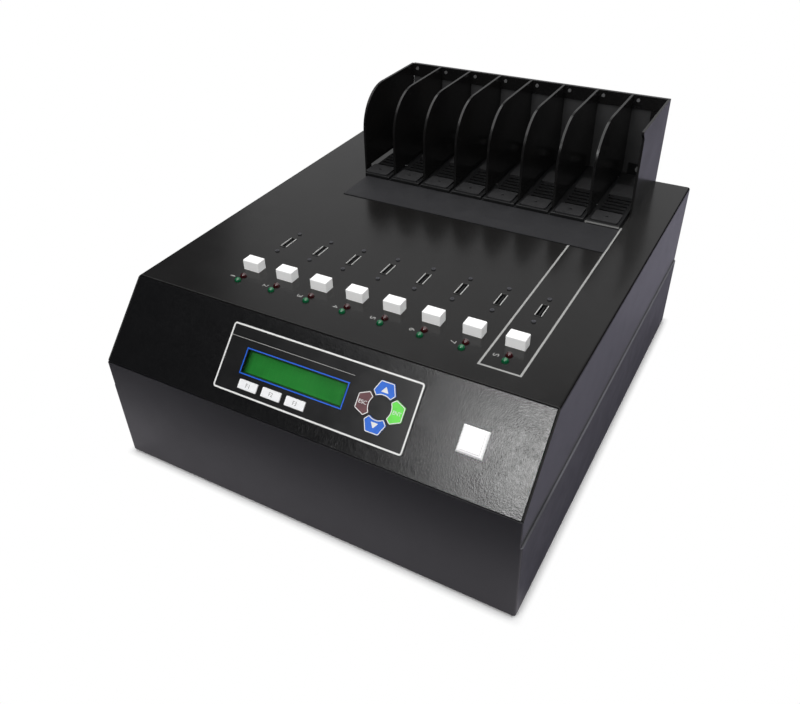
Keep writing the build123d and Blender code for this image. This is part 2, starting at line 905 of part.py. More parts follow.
with BuildPart() as port_inserts:
    with BuildSketch(port_top.offset(-port_depth)):
        with Locations(*port_places):
            Rectangle(port_room_width, port_room_length)
    extrude(amount=port_floor)
    with BuildSketch(port_top.offset(-port_depth)):
        with Locations(*port_places):
            Rectangle(port_tongue_width, port_tongue_length)
    extrude(amount=port_depth - port_tongue_recess)
port_inserts.part.label = "port_inserts"
export_step(port_inserts.part, "parts/port_inserts.step")

with BuildPart() as port_screws:
    with BuildSketch(cover_top):
        with Locations(*port_screw_places):
            Circle(port_screw_head)
    extrude(amount=port_screw_head_height)
    with BuildSketch(cover_top):
        with Locations(*port_screw_places):
            Circle(port_screw_radius)
    extrude(amount=-port_screw_length)
    with BuildSketch(cover_top.offset(port_screw_head_height)):
        with Locations(*port_screw_places):
            RegularPolygon(recess_radius, 4)
    extrude(amount=-recess_depth, mode=Mode.SUBTRACT)
port_screws.part.label = "port_screws"
export_step(port_screws.part, "parts/port_screws.step")

# Rack tray with vents, grooves for the feet of the dividers and a lug behind each bay
groove_back = rack_front_y + divider_foot + groove_extra
with BuildPart() as rack_tray:
    with BuildSketch(cover_top):
        with Locations(((tray_left + tray_right) / 2, (tray_front_y + panel_rear_y) / 2)):
            Rectangle(tray_right - tray_left, panel_rear_y - tray_front_y)
    extrude(amount=tray_height)
    front_edge = rack_tray.faces().sort_by(Axis.Z)[-1].edges().sort_by(Axis.Y)[0]
    fillet(front_edge, tray_edge_radius)
    with BuildSketch(cover_top):
        with Locations(*[(x, panel_rear_y - lug_thickness / 2) for x in columns]):
            Rectangle(lug_width, lug_thickness)
    extrude(amount=lug_height)
    with BuildSketch(cover_top.offset(groove_floor)):
        with Locations(*[(x, (tray_front_y + groove_back) / 2) for x in between_bays]):
            Rectangle(panel_thickness + 2 * groove_gap, groove_back - tray_front_y)
    extrude(amount=tray_height, mode=Mode.SUBTRACT)
    with BuildSketch(cover_top):
        with Locations(*vent_places):
            Rectangle(vent_length, vent_width)
        with Locations(*tray_screws):
            Circle(screw_hole)
    extrude(amount=tray_height, mode=Mode.SUBTRACT)
    with BuildSketch(rear_face):
        with Locations(*lug_screws):
            Circle(screw_hole)
    extrude(amount=rear_y - panel_rear_y + lug_thickness, mode=Mode.SUBTRACT)
rack_tray.part.label = "rack_tray"
export_step(rack_tray.part, "parts/rack_tray.step")

# Rests under each drive, a front and a rear one
front_pad_y = tray_front_y + front_pad_offset + front_pad_depth / 2
rear_pad_y = tray_front_y + rear_pad_offset + rear_pad_depth / 2
with BuildPart() as bay_pads:
    with BuildSketch(Plane.XY.offset(tray_top)):
        with Locations(*[(x, front_pad_y) for x in columns]):
            RectangleRounded(pad_length, front_pad_depth, pad_radius)
        with Locations(*[(x, rear_pad_y) for x in columns]):
            RectangleRounded(pad_length, rear_pad_depth, pad_radius)
    extrude(amount=pad_height)
    with BuildSketch(Plane.XY.offset(tray_top + pad_height)):
        with Locations(*[(x, front_pad_y) for x in columns]):
            Circle(dimple_radius)
    extrude(amount=-dimple_depth, mode=Mode.SUBTRACT)
bay_pads.part.label = "bay_pads"
export_step(bay_pads.part, "parts/bay_pads.step")

# Strip of matting on the cover before the rack
mat_left = tray_left + mat_left_inset
mat_right = tray_right + mat_right_inset
with BuildPart() as front_mat:
    with BuildSketch(cover_top):
        with Locations(((mat_left + mat_right) / 2, tray_front_y - mat_gap - mat_depth / 2)):
            Rectangle(mat_right - mat_left, mat_depth)
    extrude(amount=mat_thickness)
front_mat.part.label = "front_mat"
export_step(front_mat.part, "parts/front_mat.step")

# Rack back: a plain rear wall
rack_back_left = left_panel_x + panel_thickness / 2
rack_back_right = right_panel_x - panel_thickness / 2
with BuildPart() as rack_back:
    with BuildSketch(rear_face):
        with Locations(((rack_back_left + rack_back_right) / 2, (top_z + rack_top) / 2)):
            Rectangle(rack_back_right - rack_back_left, rack_height)
        with Locations(*lug_screws, *panel_screws, *tab_screws):
            Circle(screw_hole, mode=Mode.SUBTRACT)
    extrude(amount=rack_back_thickness)
rack_back.part.label = "rack_back"
export_step(rack_back.part, "parts/rack_back.step")

# Left end panel and dividers: the same plate, with a rounded front corner and a tab against the wall
plates = {"left_end_panel": (left_panel_x, top_z)}
plates |= {f"divider_{number}": (x, top_z + groove_floor) for number, x in enumerate(between_bays, 1)}
arc_reach = divider_radius * (1 - cos(radians(45)))
tab_face = rear_face.offset(rack_back_thickness + rack_fit_gap)
for name, (x, foot_z) in plates.items():
    tab_x = x + panel_thickness / 2 + divider_tab_width / 2
    with BuildPart() as divider:
        with BuildSketch(Plane.YZ.offset(x - panel_thickness / 2)):
            with BuildLine():
                Polyline(
                    (rack_front_y + divider_radius, rack_top),
                    (panel_rear_y, rack_top),
                    (panel_rear_y, top_z + divider_arch),
                    (rack_front_y + divider_foot, top_z + divider_arch),
                    (rack_front_y + divider_foot, foot_z),
                    (rack_front_y, foot_z),
                    (rack_front_y, rack_top - divider_radius),
                )
                ThreePointArc(
                    (rack_front_y, rack_top - divider_radius),
                    (rack_front_y + arc_reach, rack_top - arc_reach),
                    (rack_front_y + divider_radius, rack_top),
                )
            make_face()
        extrude(amount=panel_thickness)
        with BuildSketch(tab_face):
            with Locations((tab_x, rack_top - divider_tab_height / 2)):
                Rectangle(divider_tab_width, divider_tab_height)
            with Locations((x + tab_screw_side, rack_top - tab_screw_drop)):
                Circle(screw_hole, mode=Mode.SUBTRACT)
        extrude(amount=divider_tab_thickness)
    divider.part.label = name
    export_step(divider.part, f"parts/{name}.step")

# Right end panel with a flange against the rack back
right_face_x = right_panel_x - panel_thickness / 2
right_front_y = rear_y - right_panel_depth
with BuildPart() as right_end_panel:
    with BuildSketch(Plane.YZ.offset(right_face_x)):
        with BuildLine():
            Polyline(
                (rear_y, top_z),
                (rear_y, rack_top),
                (right_front_y - right_panel_nib, rack_top),
                (right_front_y - right_panel_nib, rack_top - right_panel_nib_edge),
                (right_front_y, rack_top - right_panel_nib_edge - right_panel_nib),
                (right_front_y, top_z),
                close=True,
            )
        make_face()
    extrude(amount=panel_thickness)
    flange_z = (top_z + right_flange_start + rack_top - right_flange_end) / 2
    with BuildSketch(rear_face.offset(rack_back_thickness)):
        with Locations((right_face_x - right_flange_width / 2, flange_z)):
            Rectangle(right_flange_width, rack_height - right_flange_start - right_flange_end)
        with Locations(*panel_screws):
            Circle(screw_hole, mode=Mode.SUBTRACT)
    extrude(amount=panel_thickness)
right_end_panel.part.label = "right_end_panel"
export_step(right_end_panel.part, "parts/right_end_panel.step")

# Fan: frame with a hub plate on struts, rotor and wire guard
fan_face = rear_face.offset(sheet)
with BuildPart() as fan_frame:
    with BuildSketch(fan_face):
        with Locations((fan_x, fan_z)):
            RectangleRounded(fan_side, fan_side, fan_corner_radius)
            Circle(fan_bore, mode=Mode.SUBTRACT)
        with Locations(*fan_screws):
            Circle(screw_hole, mode=Mode.SUBTRACT)
    extrude(amount=fan_depth)
    with BuildSketch(fan_face.offset(fan_depth)):
        with Locations((fan_x, fan_z)):
            Circle(fan_hub_radius)
            Rectangle(fan_side, fan_strut_width)
            Rectangle(fan_strut_width, fan_side)
            Circle(fan_shaft_radius + fan_shaft_gap, mode=Mode.SUBTRACT)
    extrude(amount=-fan_hub_plate)
fan_frame.part.label = "fan_frame"
export_step(fan_frame.part, "parts/fan_frame.step")

rotor_back = fan_face.offset(fan_rotor_inset)
rotor_middle_y = wall_back_y - fan_rotor_inset - fan_rotor_length / 2
with BuildPart() as fan_rotor:
    with BuildSketch(rotor_back):
        with Locations((fan_x, fan_z)):
            Circle(fan_hub_radius)
    extrude(amount=fan_rotor_length)
    for number in range(fan_blade_count):
        turn = radians(number * 360 / fan_blade_count)
        root = Plane(
            origin=(fan_x, rotor_middle_y, fan_z), x_dir=(0, 1, 0), z_dir=(cos(turn), 0, sin(turn))
        )
        with BuildSketch(root):
            Rectangle(fan_blade_chord, fan_blade_thickness, rotation=fan_blade_angle)
        extrude(amount=fan_bore)
    with BuildSketch(rotor_back):
        with Locations((fan_x, fan_z)):
            Circle(fan_bore - fan_tip_gap)
    extrude(amount=fan_rotor_length, mode=Mode.INTERSECT)
    with BuildSketch(rotor_back.offset(fan_rotor_length)):
        with Locations((fan_x, fan_z)):
            Circle(fan_shaft_radius)
    extrude(amount=fan_shaft_length)
fan_rotor.part.label = "fan_rotor"
export_step(fan_rotor.part, "parts/fan_rotor.step")

eye_distance = fan_screw_pitch / 2 * 2**0.5
with BuildPart() as fan_guard:
    with BuildSketch(rear_face):
        with Locations((fan_x, fan_z)):
            for number in reversed(range(guard_rings)):
                Circle(guard_first_ring + number * guard_ring_step + guard_wire)
                Circle(guard_first_ring + number * guard_ring_step - guard_wire, mode=Mode.SUBTRACT)
            for turn in (45, 135):
                Rectangle(2 * eye_distance, 2 * guard_wire, rotation=turn)
            Circle(guard_first_ring - guard_wire, mode=Mode.SUBTRACT)
        with Locations(*fan_screws):
            Circle(guard_eye_radius)
            Circle(screw_hole, mode=Mode.SUBTRACT)
    extrude(amount=-2 * guard_wire)
fan_guard.part.label = "fan_guard"
export_step(fan_guard.part, "parts/fan_guard.step")

# Mains inlet: flange and body, socket with three blades, and the pocket of the rocker
flange_face = rear_face.offset(-inlet_flange_thickness)
pin_reach = rocker_width / 2 + rocker_pin_length
with BuildPart() as ac_inlet:
    with BuildSketch(flange_face):
        with Locations((inlet_x, inlet_z)):
            RectangleRounded(inlet_flange_width, inlet_flange_height, inlet_flange_radius)
    extrude(amount=inlet_flange_thickness)
    with BuildSketch(rear_face):
        with Locations((inlet_x, inlet_z)):
            Rectangle(inlet_body_width, inlet_body_height)
    extrude(amount=inlet_body_depth)
    with BuildSketch(flange_face) as mouth:
        with Locations((inlet_x, socket_z)):
            Rectangle(socket_width, socket_height)
        chamfer(mouth.vertices().group_by(Axis.Y)[-1], socket_chamfer)
    extrude(amount=socket_depth, mode=Mode.SUBTRACT)
    with BuildSketch(flange_face.offset(socket_depth)):
        with Locations(
            (inlet_x - blade_spread, socket_z - blade_drop),
            (inlet_x + blade_spread, socket_z - blade_drop),
            (inlet_x, socket_z + earth_rise),
        ):
            Rectangle(blade_width, blade_height)
    extrude(amount=-blade_length)
    with BuildSketch(flange_face):
        with Locations((inlet_x, rocker_z)):
            Rectangle(rocker_width + 2 * rocker_side_gap, 2 * (rocker_half + rocker_end_gap))
    extrude(amount=inlet_flange_thickness + rocker_pivot_inset + rocker_pocket, mode=Mode.SUBTRACT)
    with BuildSketch(Plane.YZ.offset(inlet_x)):
        with Locations((pivot_y, rocker_z)):
            Circle(rocker_pin_radius + rocker_pin_gap)
    extrude(amount=pin_reach + rocker_pin_gap, both=True, mode=Mode.SUBTRACT)
ac_inlet.part.label = "ac_inlet"
export_step(ac_inlet.part, "parts/ac_inlet.step")


def rocker_point(out, up):
    """The (y, z) of a point of the tilted rocker, from its place outward and upward of the pivot."""
    c = cos(radians(rocker_tilt))
    s = sin(radians(rocker_tilt))
    return pivot_y + out * c + up * s, rocker_z - out * s + up * c


with BuildPart() as rocker_switch:
    with BuildSketch(Plane.YZ.offset(inlet_x)):
        with BuildLine():
            Polyline(
                rocker_point(rocker_end, rocker_half),
                rocker_point(rocker_waist, 0),
                rocker_point(rocker_end, -rocker_half),
                rocker_point(-rocker_back, -rocker_back_half),
                rocker_point(-rocker_back, rocker_back_half),
                close=True,
            )
        make_face()
    extrude(amount=rocker_width / 2, both=True)
    with BuildSketch(Plane.YZ.offset(inlet_x)):
        with Locations((pivot_y, rocker_z)):
            Circle(rocker_pin_radius)
    extrude(amount=pin_reach, both=True)
rocker_switch.part.label = "rocker_switch"
export_step(rocker_switch.part, "parts/rocker_switch.step")

# Power supply: a vented box with its terminal block
with BuildPart() as power_supply:
    with BuildSketch(Plane.XY.offset(floor_z)):
        with Locations((supply_x, supply_middle_y)):
            Rectangle(supply_width, supply_length)
    extrude(amount=supply_height)
    with BuildSketch(Plane.XY.offset(floor_z + supply_wall)):
        with Locations((supply_x, supply_middle_y)):
            Rectangle(supply_width - 2 * supply_wall, supply_length - 2 * supply_wall)
    extrude(amount=supply_height - 2 * supply_wall, mode=Mode.SUBTRACT)
    with BuildSketch(Plane.XY.offset(floor_z + supply_height)):
        with Locations((supply_x, supply_middle_y)):
            with GridLocations(0, supply_vent_pitch, 1, supply_vents):
                SlotOverall(supply_vent_length, supply_vent_width)
    extrude(amount=-supply_wall, mode=Mode.SUBTRACT)
    with BuildSketch(Plane.XY.offset(floor_z)):
        with Locations(*supply_screws):
            Circle(screw_hole)
    extrude(amount=supply_wall, mode=Mode.SUBTRACT)
    with BuildSketch(Plane.XY.offset(floor_z + supply_wall)):
        with Locations((supply_x, supply_back_y + terminal_depth / 2)):
            Rectangle(terminal_width, terminal_depth)
    extrude(amount=terminal_height)
power_supply.part.label = "power_supply"
export_step(power_supply.part, "parts/power_supply.step")

# Main board on standoffs, with its parts and heat sink
with BuildPart() as board_standoffs:
    with BuildSketch(Plane.XY.offset(floor_z)):
        with Locations(*standoff_places):
            Circle(stud_radius)
            Circle(screw_hole, mode=Mode.SUBTRACT)
    extrude(amount=standoff_height)
board_standoffs.part.label = "board_standoffs"
export_step(board_standoffs.part, "parts/board_standoffs.step")

with BuildPart() as main_board:
    with BuildSketch(Plane.XY.offset(main_board_z)):
        with Locations((main_board_x, main_board_y)):
            Rectangle(main_board_width, main_board_length)
        with Locations(*standoff_places):
            Circle(screw_hole, mode=Mode.SUBTRACT)
    extrude(amount=board_thickness)
main_board.part.label = "main_board"
export_step(main_board.part, "parts/main_board.step")

header_places = [
    (main_board_x + (i - (bay_count - 1) / 2) * header_pitch, row(header_row)) for i in range(bay_count)
]
capacitor_places = [
    (main_board_x + (i - (capacitor_count - 1) / 2) * capacitor_pitch, row(capacitor_row))
    for i in range(capacitor_count)
]
with BuildPart() as board_parts:
    with BuildSketch(Plane.XY.offset(main_board_top)):
        with Locations((sink_x, row(sink_row))):
            Rectangle(chip_side, chip_side)
    extrude(amount=chip_height)
    with BuildSketch(Plane.XY.offset(main_board_top)):
        with Locations(*header_places):
            Rectangle(header_width, header_depth)
    extrude(amount=header_height)
    with BuildSketch(Plane.XY.offset(main_board_top)):
        with Locations(*capacitor_places):
            Circle(capacitor_radius)
    extrude(amount=capacitor_height)
    with BuildSketch(Plane.XY.offset(main_board_top)):
        with Locations((memory_x, main_board_y)):
            Rectangle(memory_width, memory_length)
    extrude(amount=memory_height)
board_parts.part.label = "board_parts"
export_step(board_parts.part, "parts/board_parts.step")

sink_z = main_board_top + chip_height
fin_pitch = (sink_side - sink_fin_thickness) / (sink_fins - 1)
with BuildPart() as heat_sink:
    with BuildSketch(Plane.XY.offset(sink_z)):
        with Locations((sink_x, row(sink_row))):
            Rectangle(sink_side, sink_side)
    extrude(amount=sink_base)
    with BuildSketch(Plane.XY.offset(sink_z)):
        with Locations((sink_x, row(sink_row))):
            with GridLocations(fin_pitch, 0, sink_fins, 1):
                Rectangle(sink_fin_thickness, sink_side)
    extrude(amount=sink_height)
heat_sink.part.label = "heat_sink"
export_step(heat_sink.part, "parts/heat_sink.step")

# Feet under the corners
with BuildPart() as feet:
    with BuildSketch(Plane.XY):
        with Locations((0, middle_y)):
            with GridLocations(base_width - 2 * foot_inset, case_depth - 2 * foot_inset, 2, 2):
                Circle(foot_radius)
    extrude(amount=foot_height)
    chamfer(feet.edges().group_by(Axis.Z)[0], foot_chamfer)
feet.part.label = "feet"
export_step(feet.part, "parts/feet.step")

# Screws, by the face under their heads, the side of the heads, the length and the places
lug_face = rear_face.offset(rear_y - panel_rear_y + lug_thickness)
screw_sets = [
    (rear_face, -1, 2 * sheet, cover_screws),
    (rear_face.offset(-2 * guard_wire), -1, screw_length, fan_screws),
    (rear_face, -1, rack_back_thickness + panel_thickness, panel_screws),
    (rear_face, -1, rack_back_thickness + divider_tab_thickness + tab_screw_end, tab_screws),
    (lug_face, 1, lug_thickness + rack_fit_gap + rack_back_thickness, lug_screws),
    (Plane.XY.offset(under_z), -1, sheet + tray_height - groove_gap, tray_screws),
    (plate_back.offset(-lcd_frame_depth - board_thickness), -1, screw_length, lcd_studs),
    (key_board_face.offset(-key_board_thickness), -1, key_board_depth - plate_thickness, key_studs),
    (Plane.XY.offset(button_board_z - board_thickness), -1, screw_length, button_studs),
    (Plane.XY.offset(main_board_top), 1, screw_length, standoff_places),
    (Plane.XY.offset(base_z), -1, screw_length, supply_screws),
]
with BuildPart() as case_screws:
    for seat, head_side, length, places in screw_sets:
        with BuildSketch(seat):
            with Locations(*places):
                Circle(screw_head_radius)
        extrude(amount=head_side * screw_head_height)
        with BuildSketch(seat):
            with Locations(*places):
                Circle(screw_radius)
        extrude(amount=-head_side * length)
        with BuildSketch(seat.offset(head_side * screw_head_height)):
            with Locations(*places):
                Rectangle(2 * screw_radius, screw_edge)
                Rectangle(screw_edge, 2 * screw_radius)
        extrude(amount=-head_side * screw_head_height / 2, mode=Mode.SUBTRACT)
case_screws.part.label = "case_screws"
export_step(case_screws.part, "parts/case_screws.step")
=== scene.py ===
"""Dresses the hard drive duplicator and its studio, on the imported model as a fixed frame.

Metres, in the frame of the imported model: +X is right and +Y is back, seen from the front, and +Z is up.
The classes give their sizes in millimetres. Only the studio's floor, backdrop and lamps are in metres.
"""

import json
import logging
from dataclasses import dataclass, field, replace
from enum import Enum
from math import atan2, cos, hypot, pi, radians, sin
from typing import Any, ClassVar, Iterable, Mapping, Sequence, Union

import bmesh
import bpy
from mathutils import Matrix, Vector

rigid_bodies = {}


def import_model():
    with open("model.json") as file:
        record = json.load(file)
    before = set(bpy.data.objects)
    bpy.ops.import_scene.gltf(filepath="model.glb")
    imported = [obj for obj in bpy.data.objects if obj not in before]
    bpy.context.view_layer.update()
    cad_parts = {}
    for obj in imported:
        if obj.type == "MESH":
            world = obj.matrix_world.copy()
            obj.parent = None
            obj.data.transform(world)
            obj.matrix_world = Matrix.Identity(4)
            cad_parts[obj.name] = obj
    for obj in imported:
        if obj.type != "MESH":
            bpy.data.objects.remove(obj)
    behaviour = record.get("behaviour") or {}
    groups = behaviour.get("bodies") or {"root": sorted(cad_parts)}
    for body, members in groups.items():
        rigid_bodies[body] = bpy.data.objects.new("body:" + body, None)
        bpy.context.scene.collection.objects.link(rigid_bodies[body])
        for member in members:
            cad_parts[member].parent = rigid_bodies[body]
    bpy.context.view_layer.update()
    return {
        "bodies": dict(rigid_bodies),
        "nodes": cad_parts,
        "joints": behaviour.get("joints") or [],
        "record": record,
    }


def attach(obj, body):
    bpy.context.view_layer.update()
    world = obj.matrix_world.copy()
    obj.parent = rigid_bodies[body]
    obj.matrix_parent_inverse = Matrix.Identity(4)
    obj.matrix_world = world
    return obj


MM = 0.001
ROOT = "duplicator"
BAYS = 8
ROUNDING_STEPS = 5

Point = tuple[float, float]
Triple = tuple[float, float, float]
Link = Union["Value", bpy.types.NodeSocket]
Frame = Mapping[str, Any]

RIGHT: Triple = (1.0, 0.0, 0.0)
BACK: Triple = (0.0, 1.0, 0.0)
FRONT: Triple = (0.0, -1.0, 0.0)
UP: Triple = (0.0, 0.0, 1.0)

log = logging.getLogger("duplicator")


class Value:
    """A number that a shader works out for each point; arithmetic on it adds Math nodes."""

    def __init__(self, shader: "Shader", socket: bpy.types.NodeSocket) -> None:
        """Wraps an output socket of a shader's tree."""
        self.shader = shader
        self.socket = socket

    def worked(self, operation: str, *terms: "float | Value") -> "Value":
        """The result of one Math node with this operation on these numbers or values, in order."""
        node = self.shader.node("ShaderNodeMath", {"operation": operation}, dict(enumerate(terms)))
        return Value(self.shader, node.outputs[0])

    def __add__(self, other: "float | Value") -> "Value":
        """This value plus another."""
        return self.worked("ADD", self, other)

    def __radd__(self, other: float) -> "Value":
        """A number plus this value."""
        return self.worked("ADD", other, self)

    def __sub__(self, other: "float | Value") -> "Value":
        """This value less another."""
        return self.worked("SUBTRACT", self, other)

    def __rsub__(self, other: float) -> "Value":
        """A number less this value."""
        return self.worked("SUBTRACT", other, self)

    def __mul__(self, other: "float | Value") -> "Value":
        """This value times another."""
        return self.worked("MULTIPLY", self, other)

    def __rmul__(self, other: float) -> "Value":
        """A number times this value."""
        return self.worked("MULTIPLY", other, self)

    def __pow__(self, power: float) -> "Value":
        """This value raised to a power."""
        return self.worked("POWER", self, power)

    def __abs__(self) -> "Value":
        """This value without its sign."""
        return self.worked("ABSOLUTE", self)

    def repeated(self, period: float) -> "Value":
        """This value as a distance from the middle of the repeat that it falls in."""
        return self.worked("PINGPONG", self, period / 2)

    def larger(self, other: "float | Value") -> "Value":
        """The larger of this value and another."""
        return self.worked("MAXIMUM", self, other)

    def stepped(self, low: float, high: float) -> "Value":
        """A smooth step of this value.

        Args:
            low: Where the step begins, with 0.
            high: Where it ends, with 1; it falls instead where this is below low.

        Returns:
            The step as a value from 0 to 1.
        """
        first, last = min(low, high), max(low, high)
        ends = (0.0, 1.0) if low < high else (1.0, 0.0)
        node = self.shader.node(
            "ShaderNodeMapRange",
            {"interpolation_type": "SMOOTHSTEP"},
            {"Value": self, "From Min": first, "From Max": last, "To Min": ends[0], "To Max": ends[1]},
        )
        return Value(self.shader, node.outputs["Result"])

    def spread(self, low: float, high: float) -> "Value":
        """This value, from 0 to 1, spread between two numbers."""
        return self * (high - low) + low


class Shader:
    """A material's node tree, with one surface shader at its end."""

    BEVEL_SAMPLES = 4
    # How well a rounded edge's normal agrees with the true one where the edge starts, and where it is full.
    EDGE_MATCH = (0.995, 0.86)

    def __init__(self, name: str) -> None:
        """Makes an empty material.

        Args:
            name: The finish's name.
        """
        self.material = bpy.data.materials.new(name)
        self.material.use_nodes = True
        self.tree = self.material.node_tree
        self.tree.nodes.clear()
        self.output = self.node("ShaderNodeOutputMaterial")
        self.place = self.node("ShaderNodeTexCoord").outputs["Object"]

    def node(
        self,
        kind: str,
        settings: Mapping[str, Any] | None = None,
        values: Mapping[Union[str, int], Any] | None = None,
    ) -> bpy.types.Node:
        """Adds one node.

        Args:
            kind: The node's type.
            settings: The node's own settings, set first.
            values: Numbers, colours or links for its input sockets, by name or number.

        Returns:
            The new node.
        """
        node = self.tree.nodes.new(kind)
        for name, setting in (settings or {}).items():
            setattr(node, name, setting)
        for key, value in (values or {}).items():
            socket = self.input(node, key)
            if isinstance(value, Value):
                self.tree.links.new(value.socket, socket)
            elif isinstance(value, bpy.types.NodeSocket):
                self.tree.links.new(value, socket)
            elif socket.type == "RGBA" and len(value) == 3:
                socket.default_value = (*value, 1.0)
            else:
                socket.default_value = value
        return node

    @staticmethod
    def input(node: bpy.types.Node, key: Union[str, int]) -> bpy.types.NodeSocket:
        """The input socket with this number, identifier or name."""
        named = (socket for socket in node.inputs if key in (socket.identifier, socket.name))
        return node.inputs[key] if isinstance(key, int) else next(named)

    def value(self, kind: str, output: str, settings: Mapping[str, Any], values: Mapping[Any, Any]) -> Value:
        """One output of a new node of this kind, with these settings and inputs, as a value."""
        return Value(self, self.node(kind, settings, values).outputs[output])

    def noise(self, size: float, detail: float = 3.0, rough: float = 0.5) -> Value:
        """Soft noise from 0 to 1, with lumps this far apart in millimetres and finer, weaker layers."""
        values = {"Vector": self.place, "Scale": 1 / (size * MM), "Detail": detail, "Roughness": rough}
        return self.value("ShaderNodeTexNoise", "Fac", {}, values)

    def cells(self, size: float, feature: str = "F1") -> Value:
        """Distances, about 0 to 1, in a pattern of cells of this size in millimetres."""
        values = {"Vector": self.place, "Scale": 1 / (size * MM)}
        return self.value("ShaderNodeTexVoronoi", "Distance", {"feature": feature}, values)

    def dot(self, first: bpy.types.NodeSocket, second: bpy.types.NodeSocket | Triple) -> Value:
        """The dot product of two vectors."""
        values = {0: first, 1: second}
        return self.value("ShaderNodeVectorMath", "Value", {"operation": "DOT_PRODUCT"}, values)

    def along(self, direction: Triple, start: float = 0.0) -> Value:
        """How far a point lies past the start along a unit direction, in millimetres."""
        return self.dot(self.place, tuple(d / MM for d in direction)) - start

    def edges(self, radius: float) -> Value:
        """How near a point is to a sharp edge of its piece.

        Args:
            radius: How far the edge reaches, in millimetres.

        Returns:
            A value that is 0 on flat faces and rises towards edges.
        """
        bevel = self.node("ShaderNodeBevel", {"samples": self.BEVEL_SAMPLES}, {"Radius": radius * MM})
        normal = self.node("ShaderNodeNewGeometry").outputs["Normal"]
        return self.dot(bevel.outputs["Normal"], normal).stepped(*self.EDGE_MATCH)

    def mix(self, share: Link | float, first: Link | Triple, second: Link | Triple) -> bpy.types.NodeSocket:
        """A colour between two.

        Args:
            share: How much of the second colour it has.
            first: The first colour.
            second: The second colour.

        Returns:
            The mixed colour's socket.
        """
        values = {"Factor_Float": share, "A_Color": first, "B_Color": second}
        node = self.node("ShaderNodeMix", {"data_type": "RGBA"}, values)
        return next(s for s in node.outputs if s.identifier == "Result_Color")

    def bump(self, height: Value, depth: float) -> bpy.types.NodeSocket:
        """The normal's socket for a relief of this depth in millimetres, from heights of 0 to 1."""
        return self.node("ShaderNodeBump", {}, {"Height": height, "Distance": depth * MM}).outputs["Normal"]

    def finish(self, surface: bpy.types.NodeSocket) -> bpy.types.Material:
        """Ends the tree with this surface shader and gives the material."""
        self.tree.links.new(surface, self.output.inputs["Surface"])
        return self.material


@dataclass(frozen=True)
class Finish:
    """A finish: its two colours, its gloss, its relief, and its edges, lighter from wear and painted
    highlight.

    Sizes are in millimetres. The second colour is where slow mottling takes the first.
    """

    # Where soft noise steps from 0 to 1: mottling, patches of edge wear and painted highlight, gloss.
    MOTTLE_STEP = (0.3, 0.7)
    WEAR_AND_HIGHLIGHT_STEP = (0.3, 0.6)
    SHEEN_STEP = (0.25, 0.75)
    # The patches' size, and the size of the gloss's lumps as a share of the mottling's.
    WEAR_AND_HIGHLIGHT_PATCHES = 2.4
    SHEEN_SHARE = 0.6

    name: str
    colour: Triple
    shade: Triple
    mottle: float = 12.0
    gloss: Point = (0.3, 0.4)
    grain: float = 0.4
    depth: float = 0.004
    metallic: float = 0.0
    specular: float = 0.5
    coat: float = 0.0
    coat_gloss: float = 0.1
    # The colour that edges lighten to, partly wear and partly a painted highlight.
    edge: Triple | None = None
    edge_radius: float = 0.5
    edge_strength: float = 0.6

    def relief(self, shader: Shader) -> Value:
        """The height of the surface's grain, from 0 to 1."""
        return shader.noise(self.grain, detail=2.0)

    def painted(self, shader: Shader) -> Link:
        """The colour over the surface.

        Args:
            shader: The material's shader.

        Returns:
            The colour.
        """
        slow = shader.noise(self.mottle, detail=4.0, rough=0.6).stepped(*self.MOTTLE_STEP)
        base = shader.mix(slow, self.colour, self.shade)
        if self.edge is None:
            return base
        # Lighter edges: partly wear, partly a painted highlight where edges catch the light.
        patches = shader.noise(self.WEAR_AND_HIGHLIGHT_PATCHES).stepped(*self.WEAR_AND_HIGHLIGHT_STEP)
        return shader.mix(shader.edges(self.edge_radius) * patches * self.edge_strength, base, self.edge)

    def sheen(self, shader: Shader) -> Value:
        """The roughness over the surface."""
        fine = shader.noise(self.mottle * self.SHEEN_SHARE, detail=5.0, rough=0.65)
        return fine.stepped(*self.SHEEN_STEP).spread(*self.gloss)

    def surface(self, shader: Shader) -> dict[str, Any]:
        """The values of the surface shader's sockets.

        Args:
            shader: The material's shader.

        Returns:
            The values by socket.
        """
        return {
            "Base Color": self.painted(shader),
            "Roughness": self.sheen(shader),
            "Metallic": self.metallic,
            "Specular IOR Level": self.specular,
            "Coat Weight": self.coat,
            "Coat Roughness": self.coat_gloss,
            "Normal": shader.bump(self.relief(shader), self.depth),
        }

    def make(self) -> bpy.types.Material:
        """The finish's material, made once.

        Returns:
            The material.
        """
        made = bpy.data.materials.get(self.name)
        if made is not None:
            return made
        shader = Shader(self.name)
        surface = shader.node("ShaderNodeBsdfPrincipled", {}, self.surface(shader))
        return shader.finish(surface.outputs[0])


@dataclass(frozen=True)
class Ink(Finish):
    """Flat printing ink."""

    mottle: float = 6.0
    gloss: Point = (0.45, 0.6)
    grain: float = 0.2
    depth: float = 0.002
    specular: float = 0.3


@dataclass(frozen=True)
class KeyPlastic(Finish):
    """The coloured plastic of a key."""

    mottle: float = 5.0
    gloss: Point = (0.38, 0.5)
    grain: float = 0.3
    specular: float = 0.4


